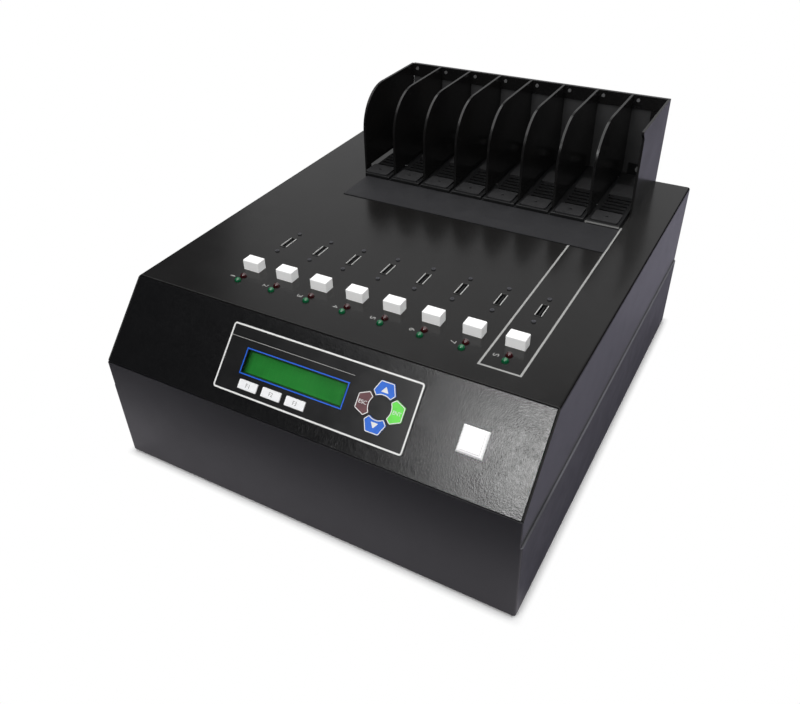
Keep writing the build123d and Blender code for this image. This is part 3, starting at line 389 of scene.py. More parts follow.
@dataclass(frozen=True)
class WrinklePaint(Finish):
    """A paint that dries into small wrinkles: soft lumps with sharp cells between them.

    The sizes of the lumps and of the shine are multiples of the wrinkle's; lumps, cells and level are
    shares of the height.
    """

    wrinkle: float = 0.95
    lump_size: float = 1.4
    lumps: float = 0.6
    cells: float = 0.4
    level: float = 0.48
    patches: float = 11.0
    step: Point = (0.35, 0.65)
    strength: Point = (0.6, 1.0)
    shine_size: float = 2.5

    def relief(self, shader: Shader) -> Value:
        """Fine wrinkles with ridges between them, stronger in patches.

        Args:
            shader: The material's shader.

        Returns:
            The height, from 0 to 1.
        """
        lumps = shader.noise(self.wrinkle * self.lump_size, rough=0.65) * self.lumps
        strong = shader.noise(self.patches).stepped(*self.step).spread(*self.strength)
        return (lumps + shader.cells(self.wrinkle) * self.cells - self.level) * strong

    def sheen(self, shader: Shader) -> Value:
        """Glossier and duller by turns, as the wrinkles lie."""
        shine = shader.noise(self.wrinkle * self.shine_size, detail=5.0, rough=0.8)
        return shine.stepped(*self.step).spread(*self.gloss)


@dataclass(frozen=True)
class CasePaint(Finish):
    """The smooth paint of the case."""

    mottle: float = 35.0
    grain: float = 1.4
    depth: float = 0.0022
    edge_radius: float = 0.45


@dataclass(frozen=True)
class SeamPaint(CasePaint):
    """The chassis' paint, with a painted highlight along its low sides' top, where the cover laps inside."""

    seam: float = 71.0
    side: Point = (168.9, 169.2)
    # The painted highlight's colour, its half height, where it grows from the front, and its strength there
    # and behind.
    seam_highlight: Triple = (0.21, 0.21, 0.23)
    seam_highlight_depth: float = 0.4
    seam_highlight_from: Point = (-165.0, -120.0)
    seam_highlight_share: Point = (0.5, 1.0)

    def painted(self, shader: Shader) -> Link:
        """The paint, with the painted highlight along the seam.

        Args:
            shader: The material's shader.

        Returns:
            The colour.
        """
        height = abs(shader.along(UP, self.seam)).stepped(self.seam_highlight_depth, 0.0)
        side = abs(shader.along(RIGHT)).stepped(*self.side)
        back = shader.along(BACK).stepped(*self.seam_highlight_from).spread(*self.seam_highlight_share)
        # Painted highlight along the seam, half as strong towards the front.
        return shader.mix(height * side * back, super().painted(shader), self.seam_highlight)


@dataclass(frozen=True)
class CoverPaint(CasePaint):
    """The cover's paint, which is dull on the cut edges beside the sloping plate."""

    cut: Point = (0.6, 0.3)
    dull: float = 0.85

    def sheen(self, shader: Shader) -> Value:
        """Glossy, and dull on the cut edges."""
        out = abs(shader.along(Slope.NORMAL, Slope.OUT)).stepped(*self.cut)
        return super().sheen(shader) * (1.0 - out) + out * self.dull


@dataclass(frozen=True)
class BrushedMetal(Finish):
    """A metal with fine lines along one direction."""

    grain: float = 0.25
    metallic: float = 1.0
    lines: Triple = RIGHT
    stretch: float = 30.0

    def relief(self, shader: Shader) -> Value:
        """Fine lines, as noise drawn out along them.

        Args:
            shader: The material's shader.

        Returns:
            The height, from 0 to 1.
        """
        scale = tuple((1 / (self.stretch if d else 1.0)) / (self.grain * MM) for d in self.lines)
        drawn = shader.node("ShaderNodeVectorMath", {"operation": "MULTIPLY"}, {0: shader.place, 1: scale})
        values = {"Vector": drawn.outputs[0], "Scale": 1.0, "Detail": 3.0}
        return shader.value("ShaderNodeTexNoise", "Fac", {}, values)


@dataclass(frozen=True)
class PortMetal(BrushedMetal):
    """The ports' shells: bright long walls, and painted shade at the ends and in the depths.

    The end is how far before a port's end the painted shade starts, and where it is full.
    """

    middle: float = -52.8
    half: float = 8.0
    end: Point = (0.9, 0.5)
    end_painted_shade: float = 0.93
    top: float = 145.4
    # Where the painted shade of the depths starts and is full, and the painted shade's colour.
    depth_shade: Point = (-0.3, -1.4)
    dark: Triple = (0.012, 0.012, 0.012)

    def painted(self, shader: Shader) -> Link:
        """The metal, with painted shade at the ends and below the top.

        Args:
            shader: The material's shader.

        Returns:
            The colour.
        """
        ends = abs(shader.along(BACK, self.middle)).stepped(self.half - self.end[0], self.half - self.end[1])
        below = shader.along(UP, self.top).stepped(*self.depth_shade)
        # Painted shade in the slots' ends and depths.
        return shader.mix((ends * self.end_painted_shade).larger(below), super().painted(shader), self.dark)


@dataclass(frozen=True)
class LitPlastic(Finish):
    """A plastic that glows faintly: a backlight in the display, and painted light on the white caps."""

    glow: float = 0.2

    def surface(self, shader: Shader) -> dict[str, Any]:
        """The plastic's values, with its glow."""
        values = super().surface(shader)
        return values | {"Emission Color": values["Base Color"], "Emission Strength": self.glow}


@dataclass(frozen=True)
class Lamp(Finish):
    """A lamp's coloured dome, a little brighter at its top."""

    mottle: float = 1.5
    gloss: Point = (0.1, 0.18)
    grain: float = 1.2
    depth: float = 0.006
    coat: float = 0.6
    glow: Triple = (0.005, 0.5, 0.16)
    power: float = 0.10
    top: float = 147.75
    height: float = 2.2
    foot_share: float = 0.25

    def surface(self, shader: Shader) -> dict[str, Any]:
        """The dome's values, with its glow.

        Args:
            shader: The material's shader.

        Returns:
            The values by socket.
        """
        height = shader.along(UP, self.top).stepped(-self.height, 0.0)
        glow = shader.mix(height, tuple(self.foot_share * g for g in self.glow), self.glow)
        return super().surface(shader) | {"Emission Color": glow, "Emission Strength": self.power}


@dataclass(frozen=True)
class DisplayGlass(LitPlastic):
    """The display's lit area, with the faint cells of its two lines of characters."""

    cell: Point = (3.55, 5.95)
    gap: Point = (0.5, 0.4)
    columns: int = 20
    rows: int = 2
    soft: float = 0.06
    faint: float = 0.07
    lit: Point = (39.4, 7.1)
    fade: float = 0.5
    left_fade: float = 3.4
    left_painted_shade: float = 0.6
    rim: float = 0.8
    dark_share: float = 0.12
    glow: float = 0.3

    def painted(self, shader: Shader) -> Link:
        """Green, with a dark rim that painted shade widens at the left, and faintly darker cells.

        Args:
            shader: The material's shader.

        Returns:
            The colour.
        """
        across, up = Slope.from_display(shader)
        cells = 1.0
        for value, cell, gap in zip((across, up), self.cell, self.gap):
            cells = cells * value.repeated(cell).stepped(gap / 2 - self.soft, gap / 2 + self.soft)
        half, tall = self.columns * self.cell[0] / 2, self.rows * self.cell[1] / 2
        written = abs(across).stepped(half, half - self.soft) * abs(up).stepped(tall, tall - self.soft)
        width, height = self.lit
        rim = abs(across).stepped(width, width + self.fade)
        rim = rim.larger(abs(up).stepped(height, height + self.fade))
        # Painted shade that widens the rim at the left, where the recess's wall shades the screen.
        rim = rim.larger(across.stepped(self.left_fade - width, -width) * self.left_painted_shade) * self.rim
        dark = (cells * written * self.faint).larger(rim)
        return shader.mix(dark, super().painted(shader), tuple(c * self.dark_share for c in self.colour))


@dataclass(frozen=True)
class DisplayRim(Finish):
    """The display's frame: coloured along its outer edge and dark within."""

    size: Point = (84.9, 19.0)
    line: float = 0.75
    soft: float = 0.08
    inner: Triple = (0.006, 0.010, 0.016)

    def painted(self, shader: Shader) -> Link:
        """The colour along the edge, and the dark inner part.

        Args:
            shader: The material's shader.

        Returns:
            The colour.
        """
        inside = 1.0
        for value, size in zip(Slope.from_display(shader), self.size):
            start = size / 2 - self.line
            inside = inside * abs(value).stepped(start, start - self.soft)
        return shader.mix(inside, super().painted(shader), self.inner)


@dataclass(frozen=True)
class ClearPane(Finish):
    """A clear pane, with a little haze."""

    haze: Point = (0.01, 0.03)

    def surface(self, shader: Shader) -> dict[str, Any]:
        """The pane's values, mostly see-through."""
        haze = shader.noise(self.mottle).spread(*self.haze)
        return super().surface(shader) | {"Alpha": haze}


@dataclass(frozen=True)
class BoardLacquer(Finish):
    """A circuit board: green lacquer over copper tracks and between bare pads."""

    track_cell: float = 7.5
    track_edge: Point = (0.10, 0.05)
    track_share: float = 0.6
    track_gain: float = 1.9
    pad_cell: float = 2.5
    pad_edge: Point = (0.16, 0.12)
    pad_share: float = 0.7
    pad: Triple = (0.45, 0.42, 0.36)

    def painted(self, shader: Shader) -> Link:
        """Lacquer, paler over the tracks, and the pads.

        Args:
            shader: The material's shader.

        Returns:
            The colour.
        """
        tracks = shader.cells(self.track_cell, "DISTANCE_TO_EDGE").stepped(*self.track_edge)
        pads = shader.cells(self.pad_cell).stepped(*self.pad_edge)
        pale = tuple(min(1.0, self.track_gain * c) for c in self.colour)
        lacquer = shader.mix(tracks * self.track_share, super().painted(shader), pale)
        return shader.mix(pads * self.pad_share, lacquer, self.pad)


class Finishes(Enum):
    """Every finish of the object."""

    CASE = CoverPaint(
        "case_paint", (0.0078, 0.0074, 0.0070), (0.0092, 0.0088, 0.0084), gloss=(0.17, 0.22),
        edge=(0.03, 0.03, 0.031), edge_strength=0.5,
    )
    # A bluish copy of the case's paint: the tint is painted light, for the cooler light that the front and
    # sides catch.
    CHASSIS = SeamPaint(
        "chassis_paint", (0.0068, 0.0068, 0.0080), (0.0078, 0.0078, 0.0092), gloss=(0.30, 0.36),
        edge=(0.03, 0.03, 0.033), edge_strength=0.4,
    )
    PLATE = WrinklePaint(
        "wrinkle_paint", (0.0026, 0.0026, 0.0028), (0.0036, 0.0036, 0.0038), mottle=14.0,
        gloss=(0.19, 0.27), depth=0.14, specular=0.55, edge=(0.03, 0.03, 0.03),
    )
    RACK = replace(
        CASE, name="rack_paint", colour=(0.0072, 0.0070, 0.0072), gloss=(0.20, 0.27), specular=0.4,
        edge=(0.018, 0.018, 0.019), edge_radius=0.7, edge_strength=0.4,
    )
    # The rack's paint made about eight times paler on the back wall: painted light, for the light that the
    # wall reflects.
    RACK_WALL_PAINTED_LIGHT = replace(
        RACK, name="rack_wall_painted_light", colour=(0.055, 0.055, 0.056), shade=(0.065, 0.065, 0.066),
    )
    TRAY = Finish(
        "tray_plastic", (0.0052, 0.0052, 0.0056), (0.0064, 0.0064, 0.0068), gloss=(0.42, 0.52),
        grain=0.5, depth=0.012, specular=0.35,
    )
    PAD = Finish(
        "pad_rubber", (0.016, 0.0158, 0.0168), (0.021, 0.0208, 0.0218), mottle=7.0, gloss=(0.5, 0.62),
        grain=0.5, depth=0.012, edge=(0.03, 0.03, 0.031),
    )
    PANEL = Finish(
        "membrane_film", (0.0050, 0.0050, 0.0054), (0.0060, 0.0060, 0.0064), mottle=30.0,
        gloss=(0.27, 0.34), grain=0.35, depth=0.006, specular=0.45,
    )
    PRINT_WHITE = Ink("white_ink", (0.82, 0.82, 0.8), (0.74, 0.74, 0.72))
    PRINT_GREY = Ink("grey_ink", (0.36, 0.36, 0.35), (0.31, 0.31, 0.30))
    RIM_BLUE = DisplayRim(
        "blue_rim", (0.012, 0.13, 0.72), (0.010, 0.11, 0.62), gloss=(0.28, 0.4), coat=0.2,
    )
    CLEAR = ClearPane(
        "clear_pane", (0.01, 0.02, 0.01), (0.015, 0.025, 0.015), mottle=20.0, gloss=(0.05, 0.1),
        grain=3.0, depth=0.002, specular=0.25,
    )
    SCREEN = DisplayGlass(
        "green_screen", (0.008, 0.13, 0.016), (0.012, 0.16, 0.021), mottle=26.0, depth=0.002, specular=0.2,
    )
    BLACKENED = BrushedMetal(
        "blackened_steel", (0.10, 0.10, 0.105), (0.07, 0.07, 0.075), mottle=10.0, gloss=(0.35, 0.5),
        grain=0.3, metallic=0.9, edge=(0.3, 0.3, 0.3),
    )
    BOARD = BoardLacquer(
        "board_lacquer", (0.012, 0.10, 0.035), (0.010, 0.08, 0.03), mottle=18.0, gloss=(0.3, 0.45),
        grain=0.6, depth=0.01,
    )
    KEY_WHITE = KeyPlastic("white_key", (0.93, 0.93, 0.93), (0.88, 0.885, 0.89), gloss=(0.4, 0.5))
    KEY_BLUE = KeyPlastic("blue_key", (0.022, 0.15, 0.68), (0.018, 0.13, 0.60))
    KEY_MAROON = KeyPlastic("maroon_key", (0.14, 0.055, 0.06), (0.11, 0.045, 0.05))
    KEY_GREEN = KeyPlastic("green_key", (0.16, 0.80, 0.09), (0.13, 0.70, 0.075))
    # The caps' glow is painted light, which brightens their shaded sides towards the white of their tops.
    CAP_WHITE = LitPlastic(
        "white_cap", (0.93, 0.93, 0.92), (0.89, 0.89, 0.88), mottle=9.0, gloss=(0.26, 0.36), grain=0.7,
        depth=0.005, edge=(0.95, 0.95, 0.94), edge_radius=0.4, edge_strength=0.5,
    )
    LAMP_GREEN = Lamp("green_lamp", (0.004, 0.085, 0.032), (0.003, 0.06, 0.022))
    LAMP_RED = replace(
        LAMP_GREEN, name="red_lamp", colour=(0.036, 0.004, 0.005), shade=(0.026, 0.003, 0.004),
        glow=(0.5, 0.01, 0.02), power=0.015,
    )
    PORT = PortMetal(
        "port_shell", (0.80, 0.80, 0.78), (0.66, 0.66, 0.64), mottle=3.0, gloss=(0.22, 0.36),
        metallic=0.35, edge=(0.9, 0.9, 0.88), edge_radius=0.25,
    )
    PORT_BLACK = Finish(
        "port_plastic", (0.0032, 0.0032, 0.0034), (0.0045, 0.0045, 0.0047), mottle=4.0, gloss=(0.5, 0.6),
        depth=0.008, specular=0.25,
    )
    BLACK_PLASTIC = Finish(
        "black_plastic", (0.010, 0.010, 0.0105), (0.015, 0.015, 0.0155), mottle=9.0, gloss=(0.34, 0.48),
        grain=0.45, depth=0.01, edge=(0.05, 0.05, 0.05),
    )
    DARK_SCREW = BrushedMetal(
        "dark_screw", (0.003, 0.003, 0.003), (0.002, 0.002, 0.002), mottle=2.0, gloss=(0.4, 0.5),
        metallic=0.0, specular=0.12,
    )
    ZINC_SCREW = BrushedMetal(
        "zinc_screw", (0.045, 0.045, 0.046), (0.035, 0.035, 0.036), mottle=2.0, gloss=(0.28, 0.42),
        edge=(0.16, 0.16, 0.16), edge_radius=0.3,
    )
    RUBBER = Finish(
        "foot_rubber", (0.014, 0.014, 0.014), (0.022, 0.022, 0.0215), mottle=5.0, gloss=(0.75, 0.9),
        grain=0.5, depth=0.02, specular=0.3,
    )
    MAT = Finish(
        "mat_rubber", (0.014, 0.014, 0.0158), (0.017, 0.017, 0.0190), mottle=16.0, gloss=(0.5, 0.6),
        depth=0.01, specular=0.4,
    )
    CHROME = BrushedMetal(
        "bright_wire", (0.72, 0.72, 0.73), (0.6, 0.6, 0.61), mottle=8.0, gloss=(0.12, 0.22), grain=0.6,
        depth=0.003,
    )
    SUPPLY = BrushedMetal(
        "zinced_sheet", (0.50, 0.51, 0.52), (0.40, 0.41, 0.42), gloss=(0.32, 0.5), grain=0.5,
        depth=0.006, edge=(0.7, 0.7, 0.7),
    )
    SINK = BrushedMetal(
        "finned_aluminium", (0.55, 0.56, 0.58), (0.46, 0.47, 0.49), mottle=8.0, gloss=(0.3, 0.42),
        grain=0.4, depth=0.005, edge=(0.8, 0.8, 0.8), lines=UP,
    )
    BRASS = BrushedMetal(
        "turned_brass", (0.66, 0.46, 0.16), (0.55, 0.37, 0.12), mottle=3.0, gloss=(0.22, 0.35),
        grain=0.3, lines=UP,
    )
    DARK_PARTS = Finish(
        "moulded_parts", (0.022, 0.022, 0.024), (0.032, 0.032, 0.034), mottle=4.0, gloss=(0.35, 0.55),
        grain=0.35, depth=0.008, edge=(0.08, 0.08, 0.08),
    )


class SubAssembly:
    """A sub-assembly of the object: which finish each of its CAD nodes has."""

    FINISHES: ClassVar[Mapping[Finishes, Sequence[str]]] = {}

    def dress(self, frame: Frame) -> list[str]:
        """Gives the nodes their finishes.

        Args:
            frame: The loaded frame.

        Returns:
            The nodes' names, for the report.
        """
        for finish, names in self.FINISHES.items():
            for name in names:
                materials = frame["nodes"][name].data.materials
                materials.clear()
                materials.append(finish.value.make())
        return [name for names in self.FINISHES.values() for name in names]


def rounded(corners: Sequence[Point], radius: float) -> list[Point]:
    """A closed outline with its corners rounded off.

    Args:
        corners: The outline's corners in order.
        radius: How far before and after each corner the rounding starts.

    Returns:
        The points of the rounded outline, one more than ROUNDING_STEPS for each corner.
    """
    points = []
    for i, (x, y) in enumerate(corners):
        ends = []
        for near in (corners[i - 1], corners[(i + 1) % len(corners)]):
            reach = hypot(near[0] - x, near[1] - y)
            share = min(radius / reach, 0.5)
            ends.append((x + (near[0] - x) * share, y + (near[1] - y) * share))
        for k in range(ROUNDING_STEPS + 1):
            t = k / ROUNDING_STEPS
            first, middle, last = (1 - t) ** 2, 2 * t * (1 - t), t**2
            away = first * ends[0][0] + middle * x + last * ends[1][0]
            points.append((away, first * ends[0][1] + middle * y + last * ends[1][1]))
    return points


def grown(outline: Sequence[Point], amount: float) -> list[Point]:
    """A closed outline moved outward.

    Args:
        outline: The outline's points in order.
        amount: How far out it moves, or in where it is below nothing.

    Returns:
        As many points, in the same order.
    """
    sides = zip(outline, [*outline[1:], outline[0]])
    area = sum(x0 * y1 - x1 * y0 for (x0, y0), (x1, y1) in sides)
    side = 1.0 if area > 0 else -1.0
    moved = []
    for i, (x, y) in enumerate(outline):
        before, after = outline[i - 1], outline[(i + 1) % len(outline)]
        dx, dy = after[0] - before[0], after[1] - before[1]
        reach = hypot(dx, dy) or 1.0
        moved.append((x + side * amount * dy / reach, y - side * amount * dx / reach))
    return moved


def rectangle(centre: Point, width: float, height: float) -> list[Point]:
    """The corners of a rectangle about this centre."""
    halves = ((-0.5, -0.5), (0.5, -0.5), (0.5, 0.5), (-0.5, 0.5))
    return [(centre[0] + i * width, centre[1] + k * height) for i, k in halves]


def placed(name: str, data: bpy.types.ID) -> bpy.types.Object:
    """Puts a new object into the scene.

    Args:
        name: Its name.
        data: Its mesh, curve, lamp or camera.

    Returns:
        The object.
    """
    made = bpy.data.objects.new(name, data)
    bpy.context.scene.collection.objects.link(made)
    return made


@dataclass(frozen=True)
class Seat:
    """A flat face that printing lies on: its start and its two directions, in millimetres."""

    start: Triple
    across: Triple
    up: Triple

    def matrix(self, out: float) -> Matrix:
        """The seat's place as a matrix.

        Args:
            out: How far off the face it is, in millimetres.

        Returns:
            A matrix from millimetres on the seat to metres in the frame.
        """
        across, up = Vector(self.across).normalized(), Vector(self.up).normalized()
        normal = across.cross(up)
        place = Matrix((across, up, normal)).transposed().to_4x4()
        place.translation = Vector(self.start) + normal * out
        return Matrix.Scale(MM, 4) @ place


class Slope:
    """The sloping front of the case, which rises from its foot to the cover's top.

    START and OUT are how far the foot lies along the slope and along its normal, from the frame's origin.
    """

    FOOT_Y, FOOT_Z = -195.3, 94.0
    RUN, RISE = 50.0, 51.0
    ALONG = (0.0, RUN / hypot(RUN, RISE), RISE / hypot(RUN, RISE))
    NORMAL = (0.0, -ALONG[2], ALONG[1])
    START = FOOT_Y * ALONG[1] + FOOT_Z * ALONG[2]
    OUT = FOOT_Y * NORMAL[1] + FOOT_Z * NORMAL[2]
    SEAT = Seat((0.0, FOOT_Y, FOOT_Z), RIGHT, ALONG)
    DISPLAY: Point = (-10.2, 36.0)

    @classmethod
    def from_display(cls, shader: Shader) -> tuple[Value, Value]:
        """How far a point is from the display's middle, to the right and up the slope, in millimetres."""
        x, up = cls.DISPLAY
        return shader.along(RIGHT, x), shader.along(cls.ALONG, cls.START + up)


class Printing:
    """Flat ink shapes gathered on one seat, which become one thin piece that stands INK off it."""

    INK = 0.03

    def __init__(self, seat: Seat, out: float) -> None:
        """Starts empty, with the printed surface this many millimetres off the seat."""
        self.place = seat.matrix(out + self.INK)
        self.mesh = bmesh.new()

    def area(self, outline: Iterable[Point]) -> None:
        """Fills an outline with ink."""
        self.mesh.faces.new([self.mesh.verts.new((x, y, 0.0)) for x, y in outline])

    def band(self, outer: Sequence[Point], inner: Sequence[Point]) -> None:
        """Fills between two outlines that have as many points.

        Args:
            outer: The outer outline.
            inner: The inner outline.
        """
        out = [self.mesh.verts.new((x, y, 0.0)) for x, y in outer]
        into = [self.mesh.verts.new((x, y, 0.0)) for x, y in inner]
        for i in range(len(out)):
            k = (i + 1) % len(out)
            self.mesh.faces.new((out[i], out[k], into[k], into[i]))

    def line(self, first: Point, second: Point, width: float) -> None:
        """A straight line of ink between two points.

        Args:
            first: Where it starts.
            second: Where it ends.
            width: How wide it is.
        """
        dx, dy = second[0] - first[0], second[1] - first[1]
        reach = hypot(dx, dy)
        ox, oy = -dy / reach * width / 2, dx / reach * width / 2
        corners = ((first, -1), (second, -1), (second, 1), (first, 1))
        self.area([(x + side * ox, y + side * oy) for (x, y), side in corners])

    def words(self, text: str, centre: Point, size: Point, turn: float = 0.0) -> None:
        """Sets a short word or a number.

        Args:
            text: What it reads.
            centre: Its middle.
            size: Its width and height before it is turned.
            turn: How far it is turned, in degrees.
        """
        curve = bpy.data.curves.new("type", "FONT")
        curve.body = text
        carrier = placed("type", curve)
        bpy.context.view_layer.update()
        letters = bpy.data.meshes.new_from_object(carrier)
        bpy.data.objects.remove(carrier)
        low = Vector([min(v.co[i] for v in letters.vertices) for i in range(3)])
        high = Vector([max(v.co[i] for v in letters.vertices) for i in range(3)])
        spread = high - low
        fit = Matrix.Diagonal((size[0] / spread.x, size[1] / spread.y, 0.0, 1.0))
        middle = Matrix.Translation(-(low + high) / 2)
        at = Matrix.Translation((*centre, 0.0)) @ Matrix.Rotation(radians(turn), 4, "Z")
        letters.transform(at @ fit @ middle)
        self.mesh.from_mesh(letters)
        bpy.data.meshes.remove(letters)

    def piece(self, name: str, finish: Finishes, body: str = ROOT) -> str:
        """Makes the piece.

        Args:
            name: The piece's name.
            finish: Its ink.
            body: The body it rides on.

        Returns:
            Its name, for the report.
        """
        bmesh.ops.recalc_face_normals(self.mesh, faces=self.mesh.faces)
        for face in self.mesh.faces:
            if face.normal.z < 0:
                face.normal_flip()
        data = bpy.data.meshes.new(name)
        self.mesh.to_mesh(data)
        self.mesh.free()
        data.transform(self.place)
        data.materials.append(finish.value.make())
        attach(placed(name, data), body)
        return name


@dataclass
class Camera:
    """The camera: where it stands, how it is turned, and its lens, all in millimetres and degrees."""

    place: Triple = (259.28, -488.48, 448.03)
    turned_left: float = 30.133
    tipped_down: float = 36.972
    rolled: float = -1.69
    focal: float = 34.6275
    sensor: float = 36.0
    clip: Point = (10.0, 50000.0)

    def build(self) -> list[str]:
        """Makes the camera and gives it to the scene.

        Returns:
            Its name, for the report.
        """
        yaw, pitch, roll = radians(-self.turned_left), radians(self.tipped_down), radians(self.rolled)
        forward = Vector((sin(yaw) * cos(pitch), cos(yaw) * cos(pitch), -sin(pitch)))
        level = Vector((cos(yaw), -sin(yaw), 0.0))
        above = level.cross(forward)
        right = cos(roll) * level + sin(roll) * above
        up = -sin(roll) * level + cos(roll) * above
        data = bpy.data.cameras.new("camera")
        data.lens = self.focal
        data.sensor_width = self.sensor
        data.clip_start, data.clip_end = (distance * MM for distance in self.clip)
        camera = placed("camera", data)
        camera.matrix_world = Matrix((right, up, -forward)).transposed().to_4x4()
        camera.location = Vector(self.place) * MM
        bpy.context.scene.camera = camera
        return [camera.name]


@dataclass(frozen=True)
class SoftLamp:
    """A soft rectangular lamp: its place, what it faces and its sides, in metres, and its brightness."""

    name: str
    place: Triple
    target: Triple
    size: Point
    radiance: float

    def build(self) -> str:
        """Makes the lamp, which the camera itself does not see.

        Returns:
            Its name, for the report.
        """
        data = bpy.data.lights.new(self.name, "AREA")
        data.shape = "RECTANGLE"
        data.size, data.size_y = self.size
        data.energy = self.radiance * pi * self.size[0] * self.size[1]
        lamp = placed(self.name, data)
        aim = Vector(self.target) - Vector(self.place)
        lamp.rotation_euler = aim.to_track_quat("-Z", "Y").to_euler()
        lamp.location = self.place
        lamp.visible_camera = False
        return self.name


@dataclass
class Studio:
    """The pale floor that rises to a backdrop all round, the soft lamps, and the dim room.

    The camera sees the floor white. The light that it sends back to the object is greyer, and most of
    it comes from before the object. The footprint, the reaches, the front's start and the paper's
    mottling are in millimetres.
    """

    flat: tuple[float, ...] = (0.0, 1.0, 2.5, 5.0)
    bend_radius: float = 1.5
    wall_height: float = 2.2
    sides: int = 96
    bend_steps: int = 10
    footprint: Point = (170.5, 195.3)
    shadow_reach: Point = (-1.0, 6.5)
    front_reach: Point = (10.0, 90.0)
    front_start: float = 30.0
    side_reach: Point = (-3.0, 1.0)
    near_tone: Triple = (0.76, 0.73, 0.79)
    side_tone: Triple = (0.30, 0.288, 0.35)
    far_tone: Triple = (0.098, 0.094, 0.112)
    paper: tuple[Triple, Triple] = ((0.93, 0.93, 0.93), (0.95, 0.95, 0.95))
    paper_mottle: float = 160.0
    room: Triple = (0.055, 0.056, 0.062)
    lamps: tuple[SoftLamp, ...] = (
        SoftLamp("lamp_above", (0.25, -0.1, 1.5), (0.25, -0.1, 0.0), size=(2.3, 2.3), radiance=2.1),
        SoftLamp("lamp_front", (-0.05, -1.03, 0.92), (0.08, -0.17, 0.12), size=(0.32, 0.26), radiance=15.0),
        SoftLamp("lamp_behind", (-0.55, 2.2, 1.06), (0.0, 0.0, 0.14), size=(2.74, 1.7), radiance=0.42),
    )

    def build(self) -> list[str]:
        """Makes the floor, the lamps and the room.

        Returns:
            The pieces' names, for the report.
        """
        floor = self.build_floor()
        floor.data.materials.append(self.floor_material())
        self.light_room()
        return [floor.name, *(lamp.build() for lamp in self.lamps)]

    def profile(self) -> list[Point]:
        """The floor's line from its middle out and up the backdrop.

        Returns:
            Its points, as radius and height in metres.
        """
        edge, bend = self.flat[-1], self.bend_radius
        line = [(radius, 0.0) for radius in self.flat]
        for k in range(1, self.bend_steps + 1):
            angle = pi / 2 * k / self.bend_steps
            line.append((edge + bend * sin(angle), bend * (1 - cos(angle))))
        return [*line, (edge + bend, self.wall_height)]

    def build_floor(self) -> bpy.types.Object:
        """The floor and backdrop as one smooth sheet turned round the middle.

        Returns:
            The floor.
        """
        mesh = bmesh.new()
        middle = mesh.verts.new((0.0, 0.0, 0.0))
        rings = []
        for radius, height in self.profile()[1:]:
            angles = [2 * pi * i / self.sides for i in range(self.sides)]
            rings.append([mesh.verts.new((radius * cos(a), radius * sin(a), height)) for a in angles])
        for i in range(self.sides):
            k = (i + 1) % self.sides
            mesh.faces.new((middle, rings[0][i], rings[0][k]))
            for inner, outer in zip(rings, rings[1:]):
                mesh.faces.new((inner[i], outer[i], outer[k], inner[k]))
        for face in mesh.faces:
            face.smooth = True
        data = bpy.data.meshes.new("studio_floor")
        mesh.to_mesh(data)
        mesh.free()
        floor = placed("studio_floor", data)
        return floor

    def beside(self, shader: Shader) -> Value:
        """How far a point of the floor lies outside the object's footprint, in millimetres."""
        out = [(abs(shader.along(d)) - half).larger(0.0) for d, half in zip((RIGHT, BACK), self.footprint)]
        return (out[0] ** 2 + out[1] ** 2) ** 0.5

    def floor_material(self) -> bpy.types.Material:
        """Pale paper that is seen with the shadow beside the object and plain white further out.

        Returns:
            The material.
        """
        shader = Shader("studio_paper")
        reach = self.beside(shader)
        rays = shader.node("ShaderNodeLightPath").outputs
        seen = Value(shader, rays["Is Camera Ray"])
        pale = shader.mix(shader.noise(self.paper_mottle), *self.paper)
        front = shader.along(FRONT, self.footprint[1])
        near = front.stepped(-self.front_start, 0.0) * (1.0 - front.stepped(*self.front_reach))
        side = shader.along(RIGHT, self.footprint[0]).stepped(*self.side_reach)
        tones = shader.mix(near, shader.mix(side, self.far_tone, self.side_tone), self.near_tone)
        paper = shader.node("ShaderNodeBsdfDiffuse", {}, {"Color": shader.mix(seen, tones, pale)})
        white = shader.node("ShaderNodeEmission", {}, {"Color": (1.0, 1.0, 1.0), "Strength": 1.0})
        values = {0: reach.stepped(*self.shadow_reach) * seen, 1: paper.outputs[0], 2: white.outputs[0]}
        return shader.finish(shader.node("ShaderNodeMixShader", {}, values).outputs[0])

    def light_room(self) -> None:
        """Fills the room with dim grey light."""
        world = bpy.data.worlds.new("room")
        world.use_nodes = True
        background = next(n for n in world.node_tree.nodes if n.type == "BACKGROUND")
        background.inputs["Color"].default_value = (*self.room, 1.0)
        background.inputs["Strength"].default_value = 1.0
        bpy.context.scene.world = world


class Case(SubAssembly):
    """The chassis, its cover, feet and screws."""

    FINISHES = {
        Finishes.CHASSIS: ("base_chassis",),
        Finishes.CASE: ("top_cover",),
        Finishes.RUBBER: ("feet",),
        Finishes.ZINC_SCREW: ("case_screws",),
    }


